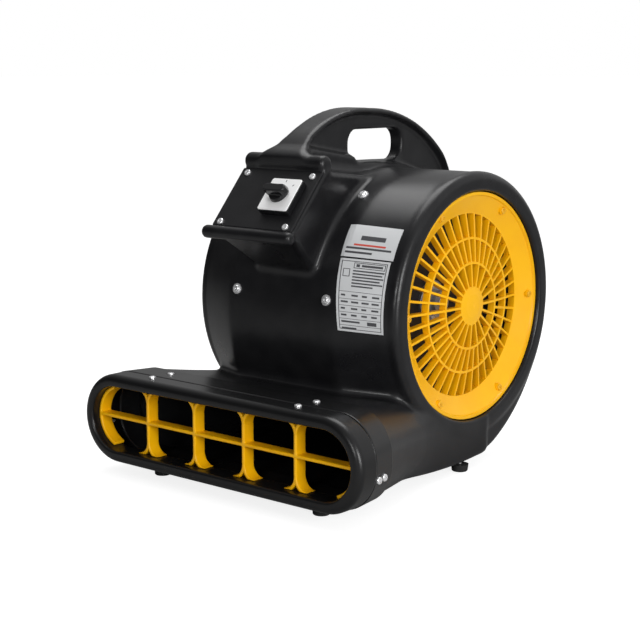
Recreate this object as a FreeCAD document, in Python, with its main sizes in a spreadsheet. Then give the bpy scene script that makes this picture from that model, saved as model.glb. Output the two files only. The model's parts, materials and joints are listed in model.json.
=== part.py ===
import FreeCAD
import Part
import Sketcher
import math
import os
from types import SimpleNamespace
from FreeCAD import Placement, Rotation, Vector

# Carpet-drying air mover: a snail-shaped moulded housing with a low wide outlet, a central motor with
# a blower wheel on each end of its shaft, a guarded intake on each side and a rotary speed switch.
# Row frame: +Z up, -Y towards the outlet, origin on the floor under the middle of the footprint.
# Most sub-parts are drawn in the fan frame, whose origin is the point of the shaft axis at X = 0.

X_AXIS = Vector(1, 0, 0)
Y_AXIS = Vector(0, 1, 0)
Z_AXIS = Vector(0, 0, 1)
ORIGIN = Vector(0, 0, 0)

SIZES = {
    # fan frame
    "axis_height": 207.0,
    "axis_back": 71.5,
    # housing
    "wall": 4.0,
    "drum_radius": 176.5,
    "drum_forward": 12.0,
    "drum_drop": 11.5,
    "drum_half_width": 82.0,
    "shoulder_end": 148.0,
    "base_drop": 198.0,
    "base_half_width": 155.0,
    "rim_radius": 165.0,
    "rim_face": 158.0,
    "rim_bore": 141.5,
    "web_face": 134.0,
    "web_bore": 122.0,
    # outlet
    "duct_end": 236.0,
    "collar_end": 278.0,
    "outlet_front": 308.0,
    "outlet_half_width": 220.0,
    "outlet_top_drop": 80.0,
    "outlet_bottom_drop": 190.0,
    "outlet_face": 15.0,
    "grille_pitch": 78.6,
    "grille_depth": 17.0,
    "grille_setback": 12.0,
    "bar_thickness": 4.0,
    # handle
    "grip_half_width": 19.0,
    "handle_foot_half_width": 22.0,
    "handle_border": 9.0,
    "handle_recess": 9.0,
    # intake guard
    "guard_radius": 140.0,
    "guard_face": 152.7,
    "guard_seat": 135.8,
    "hub_radius": 24.0,
    "inner_ring_radius": 53.0,
    "outer_ring_radius": 83.0,
    "slot_end_radius": 113.0,
    "rib_depth": 9.0,
    "rib_thickness": 2.8,
    "inner_ribs": 20.0,
    "guard_screws": 6.0,
    "guard_screw_circle": 130.0,
    "screw_radius": 2.0,
    "screw_head_radius": 4.2,
    # motor
    "motor_radius": 70.0,
    "motor_half_length": 50.0,
    "shaft_radius": 6.35,
    "shaft_half_length": 108.0,
    "bell_end": 83.0,
    "boss_radius": 20.0,
    "bearing_radius": 16.0,
    "bearing_start": 72.0,
    "stator_bore": 41.0,
    "cushion_radius": 28.0,
    "rotor_radius": 40.0,
    "core_half_length": 30.0,
    "running_gap": 0.05,
    # cradle
    "cradle_face": 77.0,
    "cradle_thickness": 3.0,
    "lower_bolt_x": 71.0,
    "upper_bolt_x": 62.0,
    "lower_bolt_angle": 10.8,
    "upper_bolt_angle": 58.0,
    "bolt_radius": 2.5,
    # blower wheels
    "wheel_radius": 132.0,
    "blade_inner_radius": 113.0,
    "wheel_start": 86.0,
    "wheel_end": 121.0,
    "wheel_hub_radius": 15.0,
    "blades": 36.0,
    "blade_thickness": 1.2,
    # control panel
    "panel_tilt": 48.7,
    "panel_forward": 234.4,
    "panel_rise": 109.2,
    "panel_half_width": 62.0,
    "panel_height": 86.0,
    "panel_below_screws": 5.5,
    "panel_thickness": 2.5,
    "panel_screw_x": 51.0,
    "panel_screw_rise": 72.9,
    "switch_x": 27.0,
    "switch_rise": 38.0,
    "switch_plate_side": 46.0,
    "switch_block_height": 9.0,
    "knob_bar_length": 32.0,
    "spindle_radius": 3.0,
    # supply gland
    "gland_x": -50.0,
    "gland_angle": 40.0,
    "gland_radius": 8.0,
    "cord_bore": 4.2,
    # feet
    "foot_radius": 11.0,
    "front_foot_x": 128.0,
    "front_foot_forward": 262.0,
    "front_foot_drop": 191.6,
    "rear_foot_x": 143.0,
    "rear_foot_forward": 12.0,
    # labels
    "label_thickness": 0.4,
}


class Size:
    """A number together with the sheet formula that gives it."""

    def __init__(self, value, formula):
        self.value = value
        self.formula = formula

    def combined(self, other, sign, value):
        return Size(value, "(%s %s %s)" % (self.formula, sign, formula_of(other)))

    def __add__(self, other):
        return self.combined(other, "+", self.value + value_of(other))

    def __sub__(self, other):
        return self.combined(other, "-", self.value - value_of(other))

    def __mul__(self, other):
        return self.combined(other, "*", self.value * value_of(other))

    def __truediv__(self, other):
        return self.combined(other, "/", self.value / value_of(other))

    def __neg__(self):
        return Size(-self.value, "(-1 * %s)" % self.formula)


def value_of(number):
    return number.value if isinstance(number, Size) else float(number)


def formula_of(number):
    return number.formula if isinstance(number, Size) else repr(float(number))


def sized(name):
    return Size(SIZES[name], "Sizes." + name)


def make_sheet(doc):
    sheet = doc.addObject("Spreadsheet::Sheet", "Sizes")
    for row, (name, value) in enumerate(SIZES.items(), start=1):
        sheet.set("A%d" % row, name)
        sheet.set("B%d" % row, str(value))
        sheet.setAlias("B%d" % row, name)
    doc.recompute()
    return sheet


doc = FreeCAD.newDocument("air_mover")
make_sheet(doc)
size = SimpleNamespace(**{name: sized(name) for name in SIZES})
mm = SimpleNamespace(**SIZES)
sub_parts = []


# ---------------------------------------------------------------- document helpers

def bind(thing, prop, number):
    thing.setExpression(prop, formula_of(number))


def keep(thing, label):
    thing.Label = label
    sub_parts.append(thing)
    return thing


def seat(thing, x=0, y=size.axis_back, z=size.axis_height, turn_axis=None, turn=0):
    """Put a sub-part's own origin at a point of the row frame, which is the fan centre unless given."""
    rotation = Rotation(turn_axis, value_of(turn)) if turn_axis else Rotation()
    thing.Placement = Placement(Vector(value_of(x), value_of(y), value_of(z)), rotation)
    bind(thing, "Placement.Base.x", x)
    bind(thing, "Placement.Base.y", y)
    bind(thing, "Placement.Base.z", z)
    if isinstance(turn, Size):
        bind(thing, "Placement.Rotation.Angle", turn)


def panel_seat(thing):
    """Put a sub-part in the panel frame: X across, Y up the slope from the lower screws, Z outwards."""
    seat(thing, 0, size.axis_back - size.panel_forward, size.axis_height + size.panel_rise,
         X_AXIS, size.panel_tilt)


def origin_feature(body, role):
    for feature in body.Origin.OriginFeatures:
        if feature.Role == role:
            return feature
    raise ValueError("no origin feature " + role)


def add_sketch(body, name, role, offset=0):
    sketch = body.newObject("Sketcher::SketchObject", name)
    sketch.AttachmentSupport = (origin_feature(body, role), [""])
    sketch.MapMode = "FlatFace"
    sketch.AttachmentOffset = Placement(Vector(0, 0, value_of(offset)), Rotation())
    if isinstance(offset, Size):
        bind(sketch, "AttachmentOffset.Base.z", offset)
    return sketch


def pin_point(sketch, edge, end, across, up):
    """Hold one sketch point by its two distances from the sketch origin."""
    for kind, number in (("DistanceX", across), ("DistanceY", up)):
        index = sketch.addConstraint(Sketcher.Constraint(kind, -1, 1, edge, end, value_of(number)))
        bind(sketch, "Constraints[%d]" % index, number)


def draw_polygon(sketch, points):
    first = sketch.GeometryCount
    corners = [Vector(value_of(across), value_of(up), 0) for across, up in points]
    count = len(corners)
    for here in range(count):
        sketch.addGeometry(Part.LineSegment(corners[here], corners[(here + 1) % count]), False)
    for here in range(count):
        following = first + (here + 1) % count
        sketch.addConstraint(Sketcher.Constraint("Coincident", first + here, 2, following, 1))
    for here, (across, up) in enumerate(points):
        pin_point(sketch, first + here, 1, across, up)


def draw_circle(sketch, across, up, radius):
    centre = Vector(value_of(across), value_of(up), 0)
    edge = sketch.addGeometry(Part.Circle(centre, Z_AXIS, value_of(radius)), False)
    pin_point(sketch, edge, 3, across, up)
    index = sketch.addConstraint(Sketcher.Constraint("Radius", edge, value_of(radius)))
    bind(sketch, "Constraints[%d]" % index, radius)


def draw_stadium(sketch, half_width, low, high):
    """Two half circles joined by a top and a bottom line."""
    radius = (high - low) / 2
    middle = (high + low) / 2
    reach = half_width - radius
    first = sketch.GeometryCount
    r, m, c = value_of(radius), value_of(middle), value_of(reach)
    right = Part.Circle(Vector(c, m, 0), Z_AXIS, r)
    left = Part.Circle(Vector(-c, m, 0), Z_AXIS, r)
    quarter = math.pi / 2
    sketch.addGeometry(Part.ArcOfCircle(right, -quarter, quarter), False)
    sketch.addGeometry(Part.LineSegment(Vector(c, m + r, 0), Vector(-c, m + r, 0)), False)
    sketch.addGeometry(Part.ArcOfCircle(left, quarter, 3 * quarter), False)
    sketch.addGeometry(Part.LineSegment(Vector(-c, m - r, 0), Vector(c, m - r, 0)), False)
    for here in range(4):
        following = first + (here + 1) % 4
        sketch.addConstraint(Sketcher.Constraint("Coincident", first + here, 2, following, 1))
    pin_point(sketch, first, 3, reach, middle)
    pin_point(sketch, first + 2, 3, -reach, middle)
    pin_point(sketch, first + 1, 1, reach, high)
    pin_point(sketch, first + 3, 1, -reach, low)
    for arc, top in ((first, 2), (first + 2, 2)):
        sketch.addConstraint(Sketcher.Constraint("Vertical", arc, 1, arc, top))


def new_body(label):
    return keep(doc.addObject("PartDesign::Body", label), label)


def pad(body, sketch, length, midplane=False, reverse=False):
    feature = body.newObject("PartDesign::Pad", "Pad")
    feature.Profile = sketch
    feature.Length = value_of(length)
    bind(feature, "Length", length)
    feature.Midplane = midplane
    feature.Reversed = reverse
    return feature


def pocket(body, sketch, length, midplane=True, reverse=False):
    feature = body.newObject("PartDesign::Pocket", "Pocket")
    feature.Profile = sketch
    feature.Length = value_of(length)
    bind(feature, "Length", length)
    feature.Midplane = midplane
    feature.Reversed = reverse
    return feature


def revolve(body, sketch, axis="H_Axis"):
    feature = body.newObject("PartDesign::Revolution", "Revolution")
    feature.Profile = sketch
    feature.ReferenceAxis = (sketch, [axis])
    feature.Angle = 360
    return feature


def polar(body, originals, count, axis="X_Axis"):
    feature = body.newObject("PartDesign::PolarPattern", "PolarPattern")
    feature.Originals = originals
    feature.Axis = (origin_feature(body, axis), [""])
    feature.Angle = 360
    feature.Occurrences = int(value_of(count))
    bind(feature, "Occurrences", count)
    body.Tip = feature
    return feature


def round_edges(body, names, radius):
    base = body.Tip
    feature = body.newObject("PartDesign::Fillet", "Fillet")
    feature.Base = (base, names)
    feature.Radius = radius
    return feature


def turned_body(label, outline, axis="H_Axis"):
    """Body of revolution about X, from an outline of (X, radius) points."""
    body = new_body(label)
    sketch = add_sketch(body, "Profile", "XZ_Plane")
    draw_polygon(sketch, outline)
    revolve(body, sketch, axis)
    return body


def plain_feature(label, shape):
    """A sub-part whose shape comes from Part's own functions, drawn in the fan frame."""
    feature = doc.addObject("Part::Feature", label)
    feature.Shape = shape
    seat(feature)
    return keep(feature, label)


# ---------------------------------------------------------------- shape helpers (fan frame, numbers)

def thickened(face, half_width):
    """Solid from a face in the plane X = 0, thickened to both sides."""
    start = face.copy()
    start.translate(Vector(-half_width, 0, 0))
    return start.extrude(Vector(2 * half_width, 0, 0))


def side_prism(edges, half_width):
    """Solid from an outline of edges in the plane X = 0, thickened to both sides."""
    return thickened(Part.Face(Part.Wire(edges)), half_width)


def polygon_edges(points):
    """Edges of an open chain of (Y, Z) points in the plane X = 0."""
    corners = [Vector(0, y, z) for y, z in points]
    return [Part.makeLine(a, b) for a, b in zip(corners, corners[1:])]


def arc_edge(start, middle, end):
    points = [Vector(0, y, z) for y, z in (start, middle, end)]
    return Part.Arc(*points).toShape()


def rounded_section(y, half_width, low, high, radius):
    """Rounded rectangle in the plane of constant Y, as four lines and four arcs."""
    x, s = half_width - radius, radius * (1 - math.sqrt(0.5))

    def corner(from_x, from_z, mid_x, mid_z, to_x, to_z):
        points = [Vector(from_x, y, from_z), Vector(mid_x, y, mid_z), Vector(to_x, y, to_z)]
        return Part.Arc(*points).toShape()

    edges = [
        Part.makeLine(Vector(-x, y, high), Vector(x, y, high)),
        corner(x, high, half_width - s, high - s, half_width, high - radius),
        Part.makeLine(Vector(half_width, y, high - radius), Vector(half_width, y, low + radius)),
        corner(half_width, low + radius, half_width - s, low + s, x, low),
        Part.makeLine(Vector(x, y, low), Vector(-x, y, low)),
        corner(-x, low, -half_width + s, low + s, -half_width, low + radius),
        Part.makeLine(Vector(-half_width, y, low + radius), Vector(-half_width, y, high - radius)),
        corner(-half_width, high - radius, -half_width + s, high - s, -x, high),
    ]
    return Part.Wire(edges)


def disc_along_x(radius, start, end):
    return Part.makeCylinder(radius, end - start, Vector(start, 0, 0), X_AXIS)


def both_sides(shape):
    """The shape and its mirror image across the plane X = 0, as a list."""
    return [shape, shape.mirror(ORIGIN, X_AXIS)]


# ---------------------------------------------------------------- housing

def drum_solid(inset, end):
    """Drum of the scroll, whose oblique shoulders run down to the round intake rims."""
    def circle_wire(x, y, z, radius):
        return Part.Wire(Part.makeCircle(radius, Vector(x, y, z), X_AXIS))

    centre_y, centre_z = -mm.drum_forward, -mm.drum_drop
    barrel = Part.makeCylinder(mm.drum_radius - inset, 2 * mm.drum_half_width,
                               Vector(-mm.drum_half_width, centre_y, centre_z), X_AXIS)
    length = mm.shoulder_end - mm.drum_half_width
    drop = (mm.drum_radius - mm.rim_radius + 1) / length
    run = end - mm.drum_half_width
    left = 1 - run / length
    shoulder = Part.makeLoft([
        circle_wire(mm.drum_half_width, centre_y, centre_z, mm.drum_radius - inset),
        circle_wire(end, centre_y * left, centre_z * left, mm.drum_radius - inset - drop * run),
    ], True, True)
    return barrel.multiFuse(both_sides(shoulder))


def base_block(inset, half_width):
    """Lower body under the drum: flat bottom that curves up to the rims at the back."""
    low = -mm.base_drop + inset
    edges = [
        Part.makeLine(Vector(0, -150, low), Vector(0, 0, low)),
        arc_edge((0, low), (78 - 0.45 * inset, -163 + 0.9 * inset), (150 - inset, -72)),
    ]
    edges += polygon_edges([(150 - inset, -72), (60, 0), (-60, -40), (-150, -96 - inset), (-150, low)])
    return side_prism(edges, half_width)


def duct_loft(inset, front_end):
    """Outlet duct: low and wide at the front, merging with the drum at the back."""
    sections = [
        (-front_end, 206, -mm.outlet_bottom_drop, -82, 50),
        (-150, 177, -195, -94, 46),
        (-60, mm.base_half_width, -mm.base_drop, -101, 40),
        (20, mm.base_half_width, -mm.base_drop, -103, 30),
    ]
    wires = [rounded_section(y, half - inset, low + inset, high - inset, radius - inset)
             for y, half, low, high, radius in sections]
    return Part.makeLoft(wires, True, False)


def control_box(inset):
    """Hood that stands out of the drum's upper front and carries the control panel."""
    def corners(half_top, half_low, top, low):
        y_top, z_top = top
        y_low, z_low = low
        points = [Vector(-half_top, y_top, z_top), Vector(half_top, y_top, z_top),
                  Vector(half_low, y_low, z_low), Vector(-half_low, y_low, z_low)]
        return Part.makePolygon(points + points[:1])

    half = mm.panel_half_width + 3 - inset
    top = mm.panel_height - mm.panel_below_screws + 4 - inset
    low = -mm.panel_below_screws - 6 + 1.4 * inset
    depth = -mm.panel_thickness - 0.1 - inset
    front = corners(half, half, panel_point(top, depth), panel_point(low, depth))
    back = corners(40 - inset, 34 - inset, (-50, 156 - inset), (-150, 30 + inset))
    return Part.makeLoft([front, back], True, True)


def panel_point(rise, out):
    """(Y, Z) in the fan frame of a point given up the panel's slope and out of its face."""
    point = panel_placement().multVec(Vector(0, rise, out))
    return point.y, point.z


def hood_lips():
    """Rounded bars that overhang the panel above and below."""
    upper_y, upper_z = panel_point(92.5, -1)
    lower_y, lower_z = panel_point(-14.5, -1)
    upper = Part.makeCylinder(10.5, 124, Vector(-62, upper_y, upper_z), X_AXIS)
    lower = Part.makeCylinder(8, 138, Vector(-69, lower_y, lower_z), X_AXIS)
    return [upper.makeFillet(6, ring_edges(upper)), lower.makeFillet(5, ring_edges(lower))]


def ring_edges(shape):
    return [edge for edge in shape.Edges if isinstance(edge.Curve, Part.Circle)]


def handle_face():
    """Side view of the handle's arch in the plane X = 0; its heel turns down to the drum's back."""
    top, heel_start, heel_end, foot_end = (-33, 239), (153.5, 146.7), (163, 119.1), (141.9, 42.1)
    edges = [
        arc_edge((-180, 186), (-126, 223.5), top),
        arc_edge(top, (60, 219.3), heel_start),
        arc_edge(heel_start, (160.6, 133.7), heel_end),
    ]
    edges += polygon_edges([heel_end, (163, 100)])
    edges.append(arc_edge((163, 100), (157.6, 69.2), foot_end))
    edges += polygon_edges([foot_end, (-110, 120), (-180, 186)])
    return Part.Face(Part.Wire(edges))


def handle_arch():
    """Fore-and-aft arch with a recess in each flank and a hand hole, wider where it meets the hood."""
    grip, foot = mm.grip_half_width, mm.handle_foot_half_width
    arch = thickened(handle_face(), foot)
    plan_points = [(-foot, -180), (foot, -180), (grip, -130), (grip, 60), (15, 165), (-15, 165),
                   (-grip, 60), (-grip, -130)]
    corners = [Vector(x, y, 30) for x, y in plan_points]
    plan = Part.Face(Part.makePolygon(corners + corners[:1])).extrude(Vector(0, 0, 230))
    body = arch.common(plan)
    recess = thickened(handle_face().makeOffset2D(-mm.handle_border), foot + 1)
    ledge = polygon_edges([(-190, 202), (30, 166), (165, 130), (165, 250), (-190, 250), (-190, 202)])
    recess = recess.common(side_prism(ledge, foot + 2))
    core = Part.makeBox(2 * (grip - mm.handle_recess), 400, 300,
                        Vector(-grip + mm.handle_recess, -200, 0))
    body = body.cut(recess.cut(core))
    hole = Part.makeBox(60, 107, 40, Vector(-30, -69, 173))
    hole = hole.makeFillet(17, [edge for edge in hole.Edges if abs(edge.tangentAt(0).x) > 0.9])
    return body.cut(hole)


def rim_ring():
    """Rounded lip round the right intake and the web that carries the guard."""
    lip = disc_along_x(mm.rim_radius, mm.web_face - mm.wall, mm.rim_face)
    outer = [edge for edge in ring_edges(lip) if edge.CenterOfMass.x > mm.rim_face - 1]
    lip = lip.makeFillet(9, outer)
    return lip


def intake_bore():
    """Room cut for the right guard and the opening in the web behind it."""
    seat_cut = disc_along_x(mm.rim_bore, mm.web_face, mm.rim_face + 20)
    mouth = disc_along_x(mm.web_bore, mm.web_face - mm.wall - 1, mm.web_face + 1)
    return seat_cut.fuse(mouth)


def screw_circle(radius, circle, start, end, count, first_turn=0):
    """Cylinders along X on a circle about the shaft axis."""
    holes = []
    for number in range(int(count)):
        turn = first_turn + number * 360 / count
        hole = Part.makeCylinder(radius, end - start, Vector(start, 0, circle), X_AXIS)
        hole.rotate(ORIGIN, X_AXIS, turn)
        holes.append(hole)
    return holes


def cradle_bolt_places():
    """Start point and outward direction of each cradle bolt, square to the drum's front."""
    places = []
    for angle, offset in ((mm.lower_bolt_angle, mm.lower_bolt_x), (mm.upper_bolt_angle, mm.upper_bolt_x)):
        turn = math.radians(angle)
        direction = Vector(0, -math.cos(turn), math.sin(turn))
        for x in (-offset, offset):
            places.append((Vector(x, -mm.drum_forward, -mm.drum_drop), direction))
    return places


def cylinder_on(start_point, direction, radius, start, end):
    """Cylinder along a direction, between two distances from a start point."""
    return Part.makeCylinder(radius, end - start, start_point + direction * start, direction)


def make_housing():
    drum = drum_solid(0, mm.shoulder_end)
    skin = [base_block(0, mm.base_half_width), duct_loft(0, mm.duct_end), control_box(0), handle_arch()]
    skin += hood_lips()
    skin += both_sides(rim_ring())
    outer = drum.multiFuse(skin)

    air = drum_solid(mm.wall, mm.web_face - mm.wall)
    air = air.multiFuse([base_block(mm.wall, mm.base_half_width - mm.wall), duct_loft(mm.wall, mm.duct_end)])
    sides = both_sides(disc_along_x(mm.rim_radius, mm.web_face - mm.wall, mm.rim_face))
    air = air.cut(sides[0]).cut(sides[1])
    hood_room = control_box(mm.wall).cut(drum)

    tools = [air, hood_room]
    tools += both_sides(intake_bore())
    tools.append(panel_opening())
    tools += panel_screw_holes()
    tools.append(cylinder_on(*gland_place(), mm.gland_radius + 0.2, -30, 10))
    for x in (-mm.rear_foot_x, mm.rear_foot_x):
        tools.append(Part.makeCylinder(mm.screw_radius + 0.1, 20, Vector(x, -mm.rear_foot_forward, -205)))
    tools += [cylinder_on(point, way, mm.bolt_radius + 0.3, 150, 200) for point, way in cradle_bolt_places()]
    for side in both_sides(Part.makeCompound(screw_circle(
            mm.screw_radius + 0.05, mm.guard_screw_circle, mm.web_face - mm.wall - 2, mm.web_face + 2,
            mm.guard_screws, 30))):
        tools += side.Solids
    shape = outer
    for tool in tools:
        shape = shape.cut(tool)
    spigot = duct_spigot()
    shape = shape.fuse(spigot)
    return plain_feature("scroll_housing", biggest_solid(shape))


def biggest_solid(shape):
    return max(shape.Solids, key=lambda solid: solid.Volume)


def panel_opening():
    """Opening through the hood's face, drawn in the panel frame and moved to the fan frame."""
    side_margin, end_margin = 7, 11
    width = 2 * (mm.panel_half_width - side_margin)
    height = mm.panel_height - 2 * end_margin
    low = -mm.panel_below_screws + end_margin
    hole = Part.makeBox(width, height, 30, Vector(-width / 2, low, -20))
    hole.Placement = panel_placement()
    return hole


def panel_screw_holes():
    """Pilot holes behind the panel's four screws."""
    holes = []
    for x in (-mm.panel_screw_x, mm.panel_screw_x):
        for rise in (0, mm.panel_screw_rise):
            hole = Part.makeCylinder(mm.screw_radius + 0.1, 12, Vector(x, rise, -12))
            hole.Placement = panel_placement()
            holes.append(hole)
    return holes


def panel_placement():
    return Placement(Vector(0, -mm.panel_forward, mm.panel_rise), Rotation(X_AXIS, mm.panel_tilt))


def duct_spigot():
    """Thinner sleeve at the duct's end that the collar slides over."""
    step = mm.wall + 0.3
    sections = []
    for inset in (step, step + 3.5):
        low, high = -mm.outlet_bottom_drop + inset, -82 - inset
        wires = [rounded_section(y, half - inset, low, high, 50 - inset)
                 for y, half in ((-mm.duct_end + 1, 206), (-262, 211.5))]
        sections.append(Part.makeLoft(wires, True, True))
    sleeve = sections[0].cut(sections[1])
    for screw in collar_screw_places():
        sleeve = sleeve.cut(cylinder_on(*screw, mm.screw_radius + 0.1, -30, 10))
    return sleeve


def collar_screw_places():
    """Head seat and outward direction of each screw through the collar: one pair on top, two a side."""
    places = [(Vector(x, -256.8, -80), Z_AXIS) for x in (-116.4, 116.4)]
    for side in (-1, 1):
        places.append((Vector(side * 213.4, -257, -150), Vector(side, 0, 0)))
        places.append((Vector(side * 216.2, -270, -150), Vector(side, 0, 0)))
    return places


# ---------------------------------------------------------------- outlet

def make_collar():
    """Flared band that joins the duct to the outlet ring."""
    rear, front = -mm.duct_end - 0.3, -mm.collar_end
    shells = []
    for inset in (0, 3.5):
        wires = [
            rounded_section(rear, 209 - inset, -192 + inset, -80.5 - inset, 51 - inset),
            rounded_section(front, 218 - inset, -190.5 + inset, -79.8 - inset, 51 - inset),
        ]
        shells.append(Part.makeLoft(wires, True, True))
    band = shells[0].cut(shells[1])
    for place in collar_screw_places():
        band = band.cut(cylinder_on(*place, mm.screw_radius + 0.1, -20, 10))
        band = band.cut(cylinder_on(*place, mm.screw_head_radius + 1.2, -0.8, 10))
    for x in (-mm.front_foot_x, mm.front_foot_x):
        hole_start = Vector(x, -mm.front_foot_forward, -205)
        band = band.cut(Part.makeCylinder(mm.screw_radius + 0.1, 30, hole_start))
    return plain_feature("outlet_collar", band)


def make_outlet_ring():
    """Rounded bezel in front of the collar, hollow at its back."""
    body = new_body("outlet_ring")
    gap = 0.4
    top, bottom = -size.outlet_top_drop, -size.outlet_bottom_drop
    front = size.outlet_front
    rear = size.collar_end + gap
    outer = add_sketch(body, "Outside", "XZ_Plane", rear)
    draw_stadium(outer, size.outlet_half_width, bottom, top)
    block = pad(body, outer, front - rear)
    face = size.outlet_face
    opening = add_sketch(body, "Opening", "XZ_Plane", rear)
    draw_stadium(opening, size.outlet_half_width - face, bottom + face, top - face)
    pocket(body, opening, 200)
    hollow = add_sketch(body, "Hollow", "XZ_Plane", rear)
    shell = 3.5
    draw_stadium(hollow, size.outlet_half_width - shell, bottom + shell, top - shell)
    inner = face - shell
    draw_stadium(hollow, size.outlet_half_width - inner, bottom + inner, top - inner)
    pocket(body, hollow, front - rear - 10, False, True)
    holes = add_sketch(body, "ScrewHoles", "XY_Plane", top + 5)
    for x in (-116.0, 116.0):
        draw_circle(holes, x, -288.0, size.screw_radius + 0.1)
    pocket(body, holes, 20, True)
    doc.recompute()
    edges = []
    for number, edge in enumerate(body.Shape.Edges, start=1):
        box = edge.BoundBox
        on_front = box.YMax < -value_of(front) + 0.1
        if on_front:
            wide = box.ZMax > value_of(top) - 1 or box.ZMin < value_of(bottom) + 1
            edges.append((number, wide))
    round_edges(body, ["Edge%d" % number for number, wide in edges if wide], 9)
    seat(body)
    return body


def thick_arc(x, z, radius, thickness, start, end, front, depth):
    """Curved strip about (x, z) between two angles, thickened along Y behind its front."""
    ring = Part.makeCylinder(radius + thickness / 2, depth, Vector(x, front, z), Y_AXIS)
    ring = ring.cut(Part.makeCylinder(radius - thickness / 2, depth, Vector(x, front, z), Y_AXIS))
    reach = 3 * radius
    middle = math.radians((start + end) / 2)
    half = math.radians((end - start) / 2)
    corners = [Vector(x, front, z)]
    for turn in (middle - half, middle, middle + half):
        corners.append(Vector(x + reach * math.cos(turn), front, z + reach * math.sin(turn)))
    wedge = Part.Face(Part.makePolygon(corners + corners[:1])).extrude(Vector(0, depth, 0))
    return ring.common(wedge)


def make_grille():
    """One moulded grille: a cross bar, forked uprights and a curved strip at each end."""
    thickness = mm.bar_thickness
    front = -mm.outlet_front + mm.grille_setback
    middle = -(mm.outlet_top_drop + mm.outlet_bottom_drop) / 2
    half_opening = (mm.outlet_bottom_drop - mm.outlet_top_drop) / 2 - mm.outlet_face
    reach = mm.outlet_half_width - mm.outlet_face
    gap = 0.2
    span = 2 * (reach - gap)
    depth = mm.grille_depth
    parts = [Part.makeBox(span, depth, thickness, Vector(-span / 2, front, middle - thickness / 2))]
    fork = 17.0
    stem = half_opening - fork + 1
    for column in (-1.5, -0.5, 0.5, 1.5):
        x = column * mm.grille_pitch
        parts.append(Part.makeBox(thickness, depth, 2 * stem, Vector(x - thickness / 2, front, middle - stem)))
        for side in (-1, 1):
            upper = (95, 180) if side > 0 else (0, 85)
            lower = (180, 265) if side > 0 else (275, 360)
            parts.append(thick_arc(x + side * fork, middle + stem, fork, thickness, *upper, front, depth))
            parts.append(thick_arc(x + side * fork, middle - stem, fork, thickness, *lower, front, depth))
    end_radius = half_opening - gap - thickness / 2
    for side, angles in ((1, (-70, 70)), (-1, (110, 250))):
        centre_x = side * (reach - half_opening)
        parts.append(thick_arc(centre_x, middle, end_radius, thickness, *angles, front, depth))
    grille = parts[0].multiFuse(parts[1:])
    low_corner = Vector(-300, front - 5, middle - half_opening + gap)
    room = Part.makeBox(600, 60, 2 * (half_opening - gap), low_corner)
    return plain_feature("outlet_grille", grille.common(room))


def screw_shape(place, way, length, head_radius=None, head_height=2.4):
    """Pan-head screw whose head sits on a place and whose shank runs against the outward way."""
    head_radius = head_radius or mm.screw_head_radius
    head = cylinder_on(place, way, head_radius, 0, head_height)
    rim = [edge for edge in ring_edges(head) if (edge.CenterOfMass - place).dot(way) > head_height / 2]
    head = head.makeFillet(head_height * 0.6, rim)
    slot_side = way.cross(X_AXIS if abs(way.x) < 0.9 else Z_AXIS).normalize()
    other = way.cross(slot_side)
    for first, second in ((slot_side, other), (other, slot_side)):
        low = place + way * (head_height - 1.1) - first * (head_radius * 0.55) - second * 0.45
        corners = [low, low + first * (head_radius * 1.1), low + first * (head_radius * 1.1) + second * 0.9,
                   low + second * 0.9]
        head = head.cut(Part.Face(Part.makePolygon(corners + corners[:1])).extrude(way * 3))
    return head.fuse(cylinder_on(place, way, mm.screw_radius, -length, 0))


def make_outlet_screws():
    collar = [screw_shape(place - way * 0.8, way, 9) for place, way in collar_screw_places()]
    plain_feature("collar_screws", Part.makeCompound(collar))
    ring = [screw_shape(Vector(x, -288, -mm.outlet_top_drop), Z_AXIS, 9) for x in (-116, 116)]
    plain_feature("outlet_ring_screws", Part.makeCompound(ring))


# ---------------------------------------------------------------- intakes

SIDES = (("right", 0), ("left", 180))


def turn_to_side(thing, turn):
    """Sub-parts of the left intake are the right ones turned half round the vertical."""
    seat(thing)
    if turn:
        thing.Placement = Placement(thing.Placement.Base, Rotation(Z_AXIS, turn))


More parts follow.
